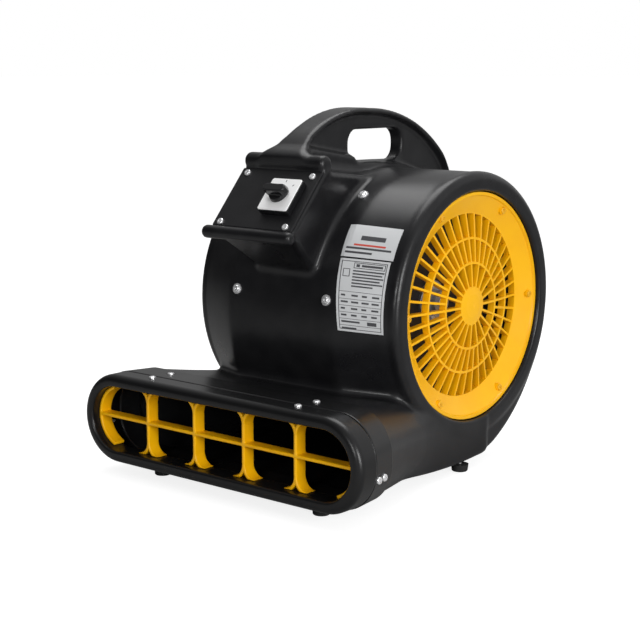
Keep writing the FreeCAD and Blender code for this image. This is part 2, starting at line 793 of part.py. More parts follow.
def make_guard(side, turn):
    body = new_body("intake_guard_" + side)
    seat_face, face, radius = size.guard_seat, size.guard_face, size.guard_radius
    slot_end = size.slot_end_radius
    rib_foot = face - 15
    dish = add_sketch(body, "Dish", "XZ_Plane")
    draw_polygon(dish, [
        (seat_face, radius), (face, radius), (face, radius - 3.8), (face - 2.1, radius - 4.8),
        (rib_foot + 0.6, slot_end + 1.5), (rib_foot, slot_end), (rib_foot - size.rib_depth, slot_end),
        (rib_foot - size.rib_depth, slot_end + 2), (rib_foot - 3, slot_end + 3.8),
        (face - 5.2, radius - 2.5), (seat_face, radius - 2.5),
    ])
    revolve(body, dish)
    kinds = (("LongRib", size.hub_radius - 4, 0), ("ShortRib", size.inner_ring_radius, 9))
    for name, start, first_turn in kinds:
        rib = add_sketch(body, name, "XZ_Plane")
        rib.AttachmentOffset = Placement(ORIGIN, Rotation(X_AXIS, first_turn))
        depth = size.rib_depth
        inner = face - 2.9 if name == "LongRib" else face - 5.2
        front = [(inner, start), (face - 9.7, size.outer_ring_radius), (rib_foot, slot_end + 1)]
        if name == "LongRib":
            front.insert(1, (face - 5.2, size.inner_ring_radius))
        back = [(x - depth, r) for x, r in reversed(front)]
        draw_polygon(rib, front + back)
        blade = pad(body, rib, size.rib_thickness, True)
        polar(body, [blade], size.inner_ribs)
    centre = add_sketch(body, "Hub", "XZ_Plane")
    draw_polygon(centre, [(face - 12, 0), (face - 1.2, 0), (face - 1.9, size.hub_radius * 0.6),
                          (face - 3.4, size.hub_radius), (face - 12, size.hub_radius)])
    revolve(body, centre)
    for name, ring_radius, front_face in (("InnerRing", size.inner_ring_radius, face - 5),
                                          ("OuterRing", size.outer_ring_radius, face - 9.5)):
        ring = add_sketch(body, name, "XZ_Plane")
        half = 1.5
        rear_face = front_face - size.rib_depth
        draw_polygon(ring, [(rear_face, ring_radius - half), (front_face, ring_radius - half),
                            (front_face, ring_radius + half), (rear_face, ring_radius + half)])
        revolve(body, ring)
    boss = add_sketch(body, "Boss", "YZ_Plane", seat_face)
    draw_circle(boss, -size.guard_screw_circle, 0, 5.2)
    post = pad(body, boss, face - 4.2 - seat_face)
    polar(body, [post], size.guard_screws)
    hole = add_sketch(body, "ScrewHole", "YZ_Plane", seat_face)
    draw_circle(hole, -size.guard_screw_circle, 0, size.screw_radius + 0.1)
    bore = pocket(body, hole, 60)
    polar(body, [bore], size.guard_screws)
    sink = add_sketch(body, "HeadRoom", "YZ_Plane", face - 4.2)
    draw_circle(sink, -size.guard_screw_circle, 0, size.screw_head_radius + 0.5)
    room = pocket(body, sink, 10, False, True)
    polar(body, [room], size.guard_screws)
    turn_to_side(body, turn)
    return body


def make_inlet_ring(side, turn):
    """Sheet-metal bellmouth between the guard and the wheel, clamped by the guard's screws."""
    flange, edge = size.web_face + 0.15, size.web_bore
    sheet = 1.45
    body = new_body("inlet_ring_" + side)
    profile = add_sketch(body, "Profile", "XZ_Plane")
    draw_polygon(profile, [
        (flange, edge + 15.2), (flange + sheet, edge + 15.2), (flange + sheet, edge - 2.2),
        (flange - 4, edge - 2.2), (flange - 9, edge - 5),
        (size.wheel_end + 1.4, size.blade_inner_radius - 1), (size.wheel_end + 0.6, size.blade_inner_radius),
        (flange - 10.2, edge - 3.8), (flange - 4.6, edge - 0.7), (flange, edge - 0.7),
    ])
    revolve(body, profile)
    hole = add_sketch(body, "ScrewHole", "YZ_Plane", flange)
    draw_circle(hole, -size.guard_screw_circle, 0, size.screw_radius + 0.1)
    bore = pocket(body, hole, 10)
    polar(body, [bore], size.guard_screws)
    turn_to_side(body, turn)
    return body


def make_guard_screws(side, turn):
    face = mm.guard_face - 4.2
    screws = []
    for number in range(int(mm.guard_screws)):
        screw = screw_shape(Vector(face, -mm.guard_screw_circle, 0), X_AXIS, 21)
        screw.rotate(ORIGIN, X_AXIS, number * 360 / mm.guard_screws)
        screws.append(screw)
    group = plain_feature("guard_screws_" + side, Part.makeCompound(screws))
    turn_to_side(group, turn)
    return group


# ---------------------------------------------------------------- motor

def make_motor_shell():
    reach, radius = size.motor_half_length, size.motor_radius
    body = turned_body("motor_shell", [(-reach, radius - 2.5), (-reach, radius), (reach, radius),
                                       (reach, radius - 2.5)])
    seat(body)


def make_stator():
    reach = size.core_half_length
    body = turned_body("stator_core", [(-reach, size.stator_bore), (-reach, size.motor_radius - 2.6),
                                       (reach, size.motor_radius - 2.6), (reach, size.stator_bore)])
    seat(body)
    coils = []
    for middle in (-mm.core_half_length - 8, mm.core_half_length + 8):
        coils.append(Part.makeTorus(53, 7.5, Vector(middle, 0, 0), X_AXIS))
    plain_feature("stator_windings", Part.makeCompound(coils))


def make_end_bell(side, turn):
    start, end, boss = size.motor_half_length + 0.1, size.bell_end, size.boss_radius
    seat_radius = size.bearing_radius + 0.05
    body = turned_body("motor_end_bell_" + side, [
        (start, size.motor_radius - 3), (start, size.motor_radius), (start + 7, size.motor_radius - 1),
        (start + 13, size.motor_radius - 12), (start + 15, boss), (end, boss), (end, seat_radius),
        (size.bearing_start - 0.2, seat_radius), (size.bearing_start - 0.2, size.shaft_radius + 3),
        (size.bearing_start - 4, size.shaft_radius + 3), (size.bearing_start - 4, boss - 4),
        (start + 11, boss - 4), (start + 9, size.motor_radius - 15), (start + 4, size.motor_radius - 4.5),
    ])
    vent = add_sketch(body, "Vent", "YZ_Plane", start)
    draw_circle(vent, 42, 0, 7)
    window = pocket(body, vent, 60)
    polar(body, [window], 8)
    turn_to_side(body, turn)


def make_bearing(side, turn):
    start = size.bearing_start
    inner = size.shaft_radius + size.running_gap
    body = turned_body("shaft_bearing_" + side, [
        (start, inner), (start, size.bearing_radius), (start + 10, size.bearing_radius),
        (start + 10, inner)])
    turn_to_side(body, turn)


def make_cushion(side, turn):
    start = size.cradle_face - 3
    inner = size.boss_radius + 0.1
    body = turned_body("motor_cushion_" + side, [
        (start, inner), (start, size.cushion_radius + 3), (size.cradle_face - 0.1, size.cushion_radius + 3),
        (size.cradle_face - 0.1, size.cushion_radius), (start + 9, size.cushion_radius), (start + 9, inner)])
    turn_to_side(body, turn)


def make_shaft():
    shaft = doc.addObject("Part::Cylinder", "motor_shaft")
    bind(shaft, "Radius", size.shaft_radius)
    bind(shaft, "Height", size.shaft_half_length * 2)
    seat(shaft, -size.shaft_half_length, turn_axis=Y_AXIS, turn=90)
    keep(shaft, "motor_shaft")


def make_rotor():
    reach = size.core_half_length
    outer = size.rotor_radius
    body = turned_body("motor_rotor", [
        (-reach, size.shaft_radius), (-reach - 6, outer - 14), (-reach - 6, outer - 2), (-reach, outer),
        (reach, outer), (reach + 6, outer - 2), (reach + 6, outer - 14), (reach, size.shaft_radius)])
    seat(body)


# ---------------------------------------------------------------- cradle

def drum_wall_sector(radius, low_angle, high_angle):
    """Edges of a sector about the drum's own centre, between two angles above the front."""
    centre = Vector(0, -mm.drum_forward, -mm.drum_drop)

    def rim(angle):
        turn = math.radians(angle)
        return centre + Vector(0, -math.cos(turn), math.sin(turn)) * radius

    arc = Part.Arc(rim(low_angle), rim((low_angle + high_angle) / 2), rim(high_angle)).toShape()
    return arc, rim(low_angle), rim(high_angle)


def make_cradle(side, turn):
    """Pressed bracket: a plate round the motor's boss and a flange bolted to the drum's front."""
    thickness = mm.cradle_thickness
    wall = mm.drum_radius - mm.wall - 0.3
    arc, low, high = drum_wall_sector(wall - 0.5, 3, 66)
    above, below = Vector(0, 0, 36), Vector(0, -14, -33)
    outline = [arc, Part.makeLine(high, above), Part.makeLine(above, below), Part.makeLine(below, low)]
    fan = Part.Face(Part.Wire(outline)).extrude(Vector(thickness, 0, 0))
    fan.translate(Vector(mm.cradle_face, 0, 0))
    plate = fan.fuse(disc_along_x(38, mm.cradle_face, mm.cradle_face + thickness))
    plate = plate.cut(disc_along_x(mm.cushion_radius + 0.1, 0, 150))
    window = Part.makeCylinder(26, 20, Vector(mm.cradle_face - 5, -88, 52), X_AXIS)
    plate = plate.cut(window)
    arc_out, low_out, high_out = drum_wall_sector(wall, 3, 66)
    arc_in, low_in, high_in = drum_wall_sector(wall - thickness, 3, 66)
    strip = Part.Face(Part.Wire([arc_out, Part.makeLine(high_out, high_in), arc_in,
                                 Part.makeLine(low_in, low_out)]))
    start = 52
    strip.translate(Vector(start, 0, 0))
    flange = strip.extrude(Vector(mm.cradle_face + thickness - start, 0, 0))
    cradle = plate.fuse(flange)
    for point, way in cradle_bolt_places():
        cradle = cradle.cut(cylinder_on(point, way, mm.bolt_radius + 0.2, 140, 190))
    if turn:
        cradle = cradle.mirror(ORIGIN, X_AXIS)
    plain_feature("motor_cradle_" + side, cradle)


def hexagon(place, way, across, start, end):
    """Hexagonal prism along a direction."""
    side = way.cross(X_AXIS if abs(way.x) < 0.9 else Z_AXIS).normalize()
    other = way.cross(side)
    corners = []
    for number in range(6):
        turn = math.radians(60 * number)
        spoke = side * math.cos(turn) + other * math.sin(turn)
        corners.append(place + way * start + spoke * (across / math.sqrt(3)))
    return Part.Face(Part.makePolygon(corners + corners[:1])).extrude(way * (end - start))


def make_cradle_fasteners():
    skin = mm.drum_radius
    inside = skin - mm.wall - 0.3 - mm.cradle_thickness
    bolts, washers, nuts = [], [], []
    for point, way in cradle_bolt_places():
        washer = cylinder_on(point, way, 6.5, skin + 0.1, skin + 1.3)
        washers.append(washer.cut(cylinder_on(point, way, mm.bolt_radius + 0.2, skin - 1, skin + 3)))
        head = cylinder_on(point, way, 4.6, skin + 1.35, skin + 4.2)
        rim = [edge for edge in ring_edges(head) if (edge.CenterOfMass - point).dot(way) > skin + 3]
        head = head.makeFillet(1.6, rim)
        head = head.cut(hexagon(point, way, 3.0, skin + 2.4, skin + 6))
        bolts.append(head.fuse(cylinder_on(point, way, mm.bolt_radius, inside - 6, skin + 2)))
        nut = hexagon(point, way, 8.0, inside - 4.2, inside - 0.1)
        nuts.append(nut.cut(cylinder_on(point, way, mm.bolt_radius + 0.05, inside - 6, inside + 1)))
    plain_feature("cradle_bolts", Part.makeCompound(bolts))
    plain_feature("cradle_washers", Part.makeCompound(washers))
    plain_feature("cradle_nuts", Part.makeCompound(nuts))


# ---------------------------------------------------------------- blower wheels

def make_wheel_disc(side, turn):
    start = size.wheel_start
    body = turned_body("wheel_disc_" + side, [
        (start, size.wheel_hub_radius + 0.05), (start, size.wheel_radius), (start + 1.2, size.wheel_radius),
        (start + 1.2, size.wheel_hub_radius + 0.05)])
    hole = add_sketch(body, "RivetHole", "YZ_Plane", start)
    draw_circle(hole, 0, 21, 2.05)
    bore = pocket(body, hole, 10)
    polar(body, [bore], 4)
    turn_to_side(body, turn)


def make_blade_strip(side, turn):
    """Punched strip: two edge bands with the curved blades between them."""
    start, end = size.wheel_start + 1.25, size.wheel_end
    outer, band = size.wheel_radius, 1.2
    body = new_body("wheel_blades_" + side)
    first = add_sketch(body, "EndBand", "XZ_Plane")
    draw_polygon(first, [(end - 5, outer - band), (end - 5, outer), (end, outer), (end, outer - band)])
    revolve(body, first)
    inner = size.blade_inner_radius
    thickness = size.blade_thickness
    blade = add_sketch(body, "Blade", "YZ_Plane", start)
    draw_polygon(blade, [(-4, inner + 0.2), (thickness - 4, inner + 0.2), (thickness - 0.5, inner + 8),
                         (thickness + 6, outer - 1), (6, outer - 0.9), (-0.5, inner + 9)])
    vane = pad(body, blade, end - start)
    polar(body, [vane], size.blades)
    second = add_sketch(body, "DiscBand", "XZ_Plane")
    draw_polygon(second, [(start, outer - band), (start, outer), (start + 4, outer),
                          (start + 4, outer - band)])
    revolve(body, second)
    turn_to_side(body, turn)


def make_wheel_hub(side, turn):
    start, radius = size.wheel_start - 1.5, size.wheel_hub_radius
    flange = size.wheel_start + 1.25
    body = turned_body("wheel_hub_" + side, [
        (start, size.shaft_radius + 0.03), (start, radius), (flange, radius), (flange, radius + 11),
        (flange + 2.5, radius + 11), (flange + 3, radius), (start + 19, radius),
        (start + 19, size.shaft_radius + 0.03)])
    hole = add_sketch(body, "RivetHole", "YZ_Plane", flange)
    draw_circle(hole, 0, 21, 2.05)
    bore = pocket(body, hole, 10)
    polar(body, [bore], 4)
    tapped = add_sketch(body, "SetScrewHole", "XY_Plane", radius)
    draw_circle(tapped, start + 14, 0, 2.55)
    pocket(body, tapped, radius - size.shaft_radius + 0.5, False)
    turn_to_side(body, turn)


def make_wheel_fasteners():
    rivets, screws = [], []
    start = mm.wheel_start
    for number in range(4):
        shank = Part.makeCylinder(2.0, 6.6, Vector(start - 1.2, 0, 21), X_AXIS)
        caps = [Part.makeCylinder(3.6, 1.2, Vector(x, 0, 21), X_AXIS) for x in (start - 1.3, start + 4.3)]
        rivet = shank.multiFuse(caps)
        rivet.rotate(ORIGIN, X_AXIS, 90 * number)
        rivets += both_sides(rivet)
    place = mm.wheel_start - 1.5 + 14
    length = mm.wheel_hub_radius - mm.shaft_radius - 1.5
    screw = Part.makeCylinder(2.5, length, Vector(place, 0, mm.shaft_radius + 0.1))
    socket = hexagon(Vector(place, 0, 0), Z_AXIS, 2.5, mm.wheel_hub_radius - 4, mm.wheel_hub_radius + 2)
    screw = screw.cut(socket)
    screws = both_sides(screw)
    plain_feature("hub_rivets", Part.makeCompound(rivets))
    plain_feature("hub_set_screws", Part.makeCompound(screws))


# ---------------------------------------------------------------- control panel

def make_panel():
    body = new_body("control_panel")
    half, low = size.panel_half_width, -size.panel_below_screws
    high = size.panel_height - size.panel_below_screws
    sketch = add_sketch(body, "Plate", "XY_Plane")
    draw_polygon(sketch, [(-half, low), (half, low), (half, high), (-half, high)])
    for x in (-size.panel_screw_x, size.panel_screw_x):
        for rise in (0, size.panel_screw_rise):
            draw_circle(sketch, x, rise, size.screw_radius + 0.1)
    draw_circle(sketch, size.switch_x, size.switch_rise, 6)
    pad(body, sketch, size.panel_thickness, False, True)
    panel_seat(body)


def make_panel_screws():
    screws = []
    for x in (-mm.panel_screw_x, mm.panel_screw_x):
        for rise in (0, mm.panel_screw_rise):
            screws.append(screw_shape(Vector(x, rise, 0.05), Z_AXIS, 5.5))
    group = plain_feature("panel_screws", Part.makeCompound(screws))
    panel_seat(group)


def square_plate(label, half, start, thickness, hole, corner):
    """Square plate on the panel round the switch spindle, with its corners rounded."""
    body = new_body(label)
    sketch = add_sketch(body, "Square", "XY_Plane", start)
    x, rise = size.switch_x, size.switch_rise
    draw_polygon(sketch, [(x - half, rise - half), (x + half, rise - half), (x + half, rise + half),
                          (x - half, rise + half)])
    draw_circle(sketch, x, rise, hole)
    pad(body, sketch, thickness)
    doc.recompute()
    upright = []
    for number, edge in enumerate(body.Shape.Edges, start=1):
        if isinstance(edge.Curve, Part.Line) and abs(edge.tangentAt(0).z) > 0.9:
            upright.append("Edge%d" % number)
    round_edges(body, upright, corner)
    panel_seat(body)
    return body


def make_switch():
    half = size.switch_plate_side / 2
    block = size.switch_block_height
    square_plate("switch_block", half, 0.1, block - 0.1, 6, 2)
    square_plate("switch_plate", half - 0.5, block + 0.1, 1.4, 6, 3)
    square_plate("switch_body", half - 3, -size.panel_thickness - 38.2, 38, size.spindle_radius + 0.05, 3)
    spindle = doc.addObject("Part::Cylinder", "switch_spindle")
    bind(spindle, "Radius", size.spindle_radius)
    bind(spindle, "Height", 56)
    keep(spindle, "switch_spindle")
    spindle.Placement = Placement(Vector(mm.switch_x, mm.switch_rise, -38), Rotation())
    place_in_panel(spindle)


def place_in_panel(thing):
    """Move a thing that was placed in the panel frame to the row frame."""
    thing.Placement = Placement(Vector(0, mm.axis_back, mm.axis_height), Rotation()).multiply(
        panel_placement()).multiply(thing.Placement)


def make_knob():
    """Speed knob: a round skirt with a grip bar across it, on the switch spindle."""
    base = mm.switch_block_height + 1.8
    centre = Vector(mm.switch_x, mm.switch_rise, base)
    skirt = Part.makeCone(12.5, 11.5, 5, centre)
    half, half_width, tip = mm.knob_bar_length / 2, 5.2, 4.4
    outline = [(-half, -tip), (-half, tip), (-half + 4, half_width), (half - 4, half_width), (half, tip),
               (half, -tip), (half - 4, -half_width), (-half + 4, -half_width)]
    corners = [centre + Vector(x, y, 2.5) for x, y in outline]
    bar = Part.Face(Part.makePolygon(corners + corners[:1])).extrude(Vector(0, 0, 11.5))
    top = [edge for edge in bar.Edges if edge.CenterOfMass.z > base + 13.5]
    knob = skirt.fuse(bar.makeFillet(1.2, top))
    knob = knob.cut(Part.makeCylinder(mm.spindle_radius + 0.02, 8, centre))
    panel_seat(plain_feature("speed_knob", knob))


def make_capacitor():
    length, radius = 46.0, 14.0
    centre = Vector(-52, 33, -mm.panel_thickness - radius - 2.4)
    can = Part.makeCylinder(radius, length, centre, X_AXIS)
    can = can.makeFillet(2, ring_edges(can))
    strap = Part.makeCylinder(radius + 1.5, 10, centre + Vector(16, 0, 0), X_AXIS)
    strap = strap.cut(Part.makeCylinder(radius + 0.1, 10, centre + Vector(16, 0, 0), X_AXIS))
    foot = Part.makeBox(10, 40, 1.2, centre + Vector(16, -20, radius + 0.3))
    strap = strap.fuse(foot.cut(Part.makeCylinder(radius + 0.1, 10, centre + Vector(16, 0, 0), X_AXIS)))
    block = Part.makeBox(33, 13, 12, Vector(-44, 55, -mm.panel_thickness - 12.4))
    for number in range(3):
        clamp = Vector(-38.5 + 11 * number, 61.5, -mm.panel_thickness - 13)
        block = block.cut(Part.makeCylinder(2.6, 6, clamp))
    for label, shape in (("run_capacitor", can), ("capacitor_strap", strap), ("terminal_block", block)):
        feature = plain_feature(label, shape)
        panel_seat(feature)


# ---------------------------------------------------------------- gland, feet and labels

def gland_place():
    """Point of the drum's upper back and its outward direction."""
    turn = math.radians(mm.gland_angle)
    way = Vector(0, math.cos(turn), math.sin(turn))
    return Vector(mm.gland_x, -mm.drum_forward, -mm.drum_drop) + way * mm.drum_radius, way


def make_gland():
    """Empty supply gland through the drum's upper back."""
    place, way = gland_place()
    radius = mm.gland_radius
    barrel = cylinder_on(place, way, radius, -16, 6)
    flange = hexagon(place, way, 24, 0.4, 6)
    dome = Part.makeCone(11, 7.5, 13, place + way * 5.5, way)
    bore = cylinder_on(place, way, mm.cord_bore, 1, 40)
    passage = cylinder_on(place, way, mm.cord_bore + 1.4, -30, 2)
    plain_feature("cable_gland", barrel.multiFuse([flange, dome]).cut(bore).cut(passage))
    nut = hexagon(place, way, 24, -mm.wall - 6, -mm.wall - 0.8)
    plain_feature("gland_nut", nut.cut(cylinder_on(place, way, radius + 0.05, -30, 10)))


def foot_places():
    front_y, front_drop = size.front_foot_forward, size.front_foot_drop
    return (("front_right", size.front_foot_x, front_y, front_drop),
            ("front_left", -size.front_foot_x, front_y, front_drop),
            ("rear_right", size.rear_foot_x, size.rear_foot_forward, size.base_drop),
            ("rear_left", -size.rear_foot_x, size.rear_foot_forward, size.base_drop))


def make_feet():
    screws = []
    for name, x, forward, drop in foot_places():
        height = size.axis_height - drop - 0.1
        body = new_body("foot_" + name)
        profile = add_sketch(body, "Profile", "XZ_Plane")
        radius = size.foot_radius
        bore, recess = size.screw_radius + 0.1, size.screw_head_radius + 0.4
        draw_polygon(profile, [(bore, height), (bore, 4), (recess, 4), (recess, 0), (radius - 2, 0),
                               (radius - 1, 1), (radius, height)])
        revolve(body, profile, "V_Axis")
        seat(body, x, size.axis_back - forward, 0)
        place = Vector(value_of(x), -value_of(forward), -mm.axis_height + 3.9)
        screws.append(screw_shape(place, -Z_AXIS, value_of(height) + 1.8))
    plain_feature("foot_screws", Part.makeCompound(screws))


def shoulder_point(x, angle):
    """Point of the drum's right shoulder at an angle above the front, measured about the barrel's centre."""
    share = max(0, (x - mm.drum_half_width) / (mm.shoulder_end - mm.drum_half_width))
    radius = mm.drum_radius + (mm.rim_radius - 1 - mm.drum_radius) * share
    way = Vector(0, -math.cos(math.radians(angle)), math.sin(math.radians(angle)))
    gap = Vector(0, -mm.drum_forward, -mm.drum_drop) * share
    along = way.dot(gap)
    run = math.sqrt(along ** 2 - gap.dot(gap) + radius ** 2) - along
    return Vector(x, -mm.drum_forward, -mm.drum_drop) + way * run


def make_label(label, corners):
    """Thin plate that follows the drum's right shoulder inside four corners, given as (X, angle) pairs."""
    skin = drum_solid(-mm.label_thickness - 0.05, 146).cut(drum_solid(-0.05, 147))
    points = [shoulder_point(*corner) for corner in corners]
    middle = (points[0] + points[1] + points[2] + points[3]) * 0.25
    out = (points[2] - points[0]).cross(points[3] - points[1])
    out.normalize()
    if out.z < 0:
        out = out * -1
    flat = [point - out * (point - middle).dot(out) - out * 15 for point in points]
    prism = Part.Face(Part.makePolygon(flat + flat[:1])).extrude(out * 40)
    plain_feature(label, biggest_solid(skin.common(prism)))


# ---------------------------------------------------------------- assembly

make_housing()
make_collar()
make_outlet_ring()
make_grille()
make_outlet_screws()
for side, turn in SIDES:
    make_guard(side, turn)
    make_inlet_ring(side, turn)
    make_guard_screws(side, turn)
    make_end_bell(side, turn)
    make_bearing(side, turn)
    make_cushion(side, turn)
    make_cradle(side, turn)
    make_wheel_disc(side, turn)
    make_blade_strip(side, turn)
    make_wheel_hub(side, turn)
make_motor_shell()
make_stator()
make_shaft()
make_rotor()
make_cradle_fasteners()
make_wheel_fasteners()
make_panel()
make_panel_screws()
make_switch()
make_knob()
make_capacitor()
make_gland()
make_feet()
make_label("info_label", [(74, 42), (140.5, 44.6), (141.5, 30.3), (78, 28.3)])
make_label("rating_label", [(79, 27.6), (139.5, 29.6), (140.5, -1), (89, 0)])


# ---------------------------------------------------------------- checks and export

def report_faults():
    faults = []
    for thing in doc.Objects:
        if "Invalid" in thing.State or "Error" in thing.State:
            faults.append("%s state %s" % (thing.Label, thing.State))
    for thing in sub_parts:
        if thing.Shape.isNull() or not thing.Shape.isValid():
            faults.append("%s has no valid shape" % thing.Label)
    return faults


doc.recompute()
faults = report_faults()
if faults:
    raise RuntimeError("; ".join(faults))
os.makedirs("parts", exist_ok=True)
for thing in sub_parts:
    thing.Shape.exportStep("parts/%s.step" % thing.Label)
    box = thing.Shape.BoundBox
    print("%-26s solids %2d  volume %9.1f cm3  x %6.1f %6.1f  y %6.1f %6.1f  z %6.1f %6.1f" % (
        thing.Label, len(thing.Shape.Solids), thing.Shape.Volume / 1000, box.XMin, box.XMax,
        box.YMin, box.YMax, box.ZMin, box.ZMax))
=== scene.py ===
import json
import math

import bpy
import numpy as np
import openvdb
from mathutils import Matrix, Vector


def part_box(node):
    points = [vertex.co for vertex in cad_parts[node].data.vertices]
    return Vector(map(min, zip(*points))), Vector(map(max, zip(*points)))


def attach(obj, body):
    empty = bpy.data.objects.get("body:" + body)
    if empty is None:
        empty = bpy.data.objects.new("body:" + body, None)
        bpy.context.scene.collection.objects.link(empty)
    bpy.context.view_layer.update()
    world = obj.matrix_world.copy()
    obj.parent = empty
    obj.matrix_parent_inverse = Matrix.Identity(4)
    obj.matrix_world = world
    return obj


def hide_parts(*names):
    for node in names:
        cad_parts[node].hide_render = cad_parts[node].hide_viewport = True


# Looks of the air mover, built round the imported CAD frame. Shapes are worked out in millimetres in the
# fan frame (origin on the shaft axis at X = 0, Y away from the outlet, Z up) and stored in metres.

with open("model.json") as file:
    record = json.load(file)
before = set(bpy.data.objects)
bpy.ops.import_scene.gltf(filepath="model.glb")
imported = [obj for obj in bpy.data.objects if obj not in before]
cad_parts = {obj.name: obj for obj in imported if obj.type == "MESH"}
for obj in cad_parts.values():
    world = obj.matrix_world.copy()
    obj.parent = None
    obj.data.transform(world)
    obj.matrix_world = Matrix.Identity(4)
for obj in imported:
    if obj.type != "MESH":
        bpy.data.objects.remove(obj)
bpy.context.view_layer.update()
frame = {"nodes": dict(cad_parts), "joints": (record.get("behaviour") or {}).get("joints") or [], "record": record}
nodes = frame["nodes"]
joints = {joint["name"]: joint for joint in frame["joints"]}
centre = Vector(joints["impeller_spin"]["pos_m"])


def node_box(name):
    """Lowest and highest corner of a CAD node in the fan frame, in millimetres."""
    low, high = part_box(name)
    return (low - centre) * 1000, (high - centre) * 1000


guard_low, guard_high = node_box("intake_guard_right")
ring_low, ring_high = node_box("outlet_ring")
collar_low, collar_high = node_box("outlet_collar")
grille_low, grille_high = node_box("outlet_grille")

WALL = 4.0
DRUM = {"y": -12.0, "z": -11.5, "radius": 176.5, "half_width": 82.0}
SHOULDER_END = 148.0
SHOULDER_RADIUS = 164.0
RIM = {"radius": 165.0, "start": 138.0, "face": 158.0, "bore": guard_high.z + 1.5, "web": 134.0, "mouth": 122.0}
BASE_BOTTOM = -198.0
BASE_HALF = 155.0
DUCT_END = -236.0
PANEL = {"tilt": math.radians(48.7), "y": -234.4, "z": 109.2, "half_width": 62.0, "low": -5.5, "high": 80.5}
SWITCH = (27.0, 38.0)
INFO_LABEL = ((74, 42), (140.5, 44.6), (141.5, 30.3), (78, 28.3))
RATING_LABEL = ((79, 27.6), (139.5, 29.6), (140.5, -1), (89, 0))


# ---------------------------------------------------------------- distance fields

def sharp_max(first, *others):
    for other in others:
        first = np.maximum(first, other)
    return first


def round_max(a, b, radius):
    """Intersection whose convex edge has a radius."""
    a, b = a + radius, b + radius
    corner = np.sqrt(np.maximum(a, 0) ** 2 + np.maximum(b, 0) ** 2)
    return np.minimum(np.maximum(a, b), 0) + corner - radius


def round_min(a, b, radius):
    """Union whose concave corner has a fillet."""
    return -round_max(-a, -b, radius)


def rounded_box(across, up, half_across, half_up, radius):
    return round_max(np.abs(across) - half_across, np.abs(up) - half_up, radius)


def circle_through(p, q, r):
    """Centre and radius of the circle through three points of a plane."""
    rows = 2 * np.array([[q[0] - p[0], q[1] - p[1]], [r[0] - p[0], r[1] - p[1]]])
    square = [point[0] ** 2 + point[1] ** 2 for point in (p, q, r)]
    middle = np.linalg.solve(rows, np.array([square[1] - square[0], square[2] - square[0]]))
    return middle[0], middle[1], math.hypot(p[0] - middle[0], p[1] - middle[1])


def smooth_step(value, start, end):
    share = np.clip((value - start) / (end - start), 0, 1)
    return share * share * (3 - 2 * share)


class Field:
    """A block of space with coordinates that broadcast against each other."""

    def __init__(self, low, high, step):
        self.low, self.step = np.array(low, float), step
        counts = [int(math.ceil((h - l) / step)) + 1 for l, h in zip(low, high)]
        axes = [(l + step * np.arange(n)).astype(np.float32) for l, n in zip(low, counts)]
        self.shape = tuple(counts)
        self.x = axes[0].reshape(-1, 1, 1)
        self.y = axes[1].reshape(1, -1, 1)
        self.z = axes[2].reshape(1, 1, -1)

    def mesh(self, name, distance, to_row):
        """Smooth quad mesh of the zero surface of a distance array, moved to the row frame in metres."""
        band = 3 * self.step
        solid = np.broadcast_to(distance, self.shape)
        grid = openvdb.FloatGrid(band)
        grid.copyFromArray(np.ascontiguousarray(np.clip(solid, -band, band), dtype=np.float32))
        points, quads = grid.convertToQuads(0.0)
        points = np.asarray(points, float) * self.step + self.low
        data = bpy.data.meshes.new(name)
        data.from_pydata([to_row(p) for p in points], [], [tuple(reversed(q)) for q in quads.tolist()])
        data.polygons.foreach_set("use_smooth", np.ones(len(quads), bool))
        return data


def fan_to_row(point):
    return (point[0] / 1000 + centre.x, point[1] / 1000 + centre.y, point[2] / 1000 + centre.z)


panel_frame = Matrix.Translation(centre) @ Matrix.Scale(0.001, 4) @ Matrix.Translation(
    (0, PANEL["y"], PANEL["z"])) @ Matrix.Rotation(PANEL["tilt"], 4, "X")


def panel_to_row(point):
    return tuple(panel_frame @ Vector(point))


def add_piece(name, data, material, body, slot, *replaced):
    piece = bpy.data.objects.new(name, data)
    bpy.context.scene.collection.objects.link(piece)
    data.materials.append(material)
    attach(piece, body)
    if replaced:
        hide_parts(*replaced)
    return piece


# ---------------------------------------------------------------- materials

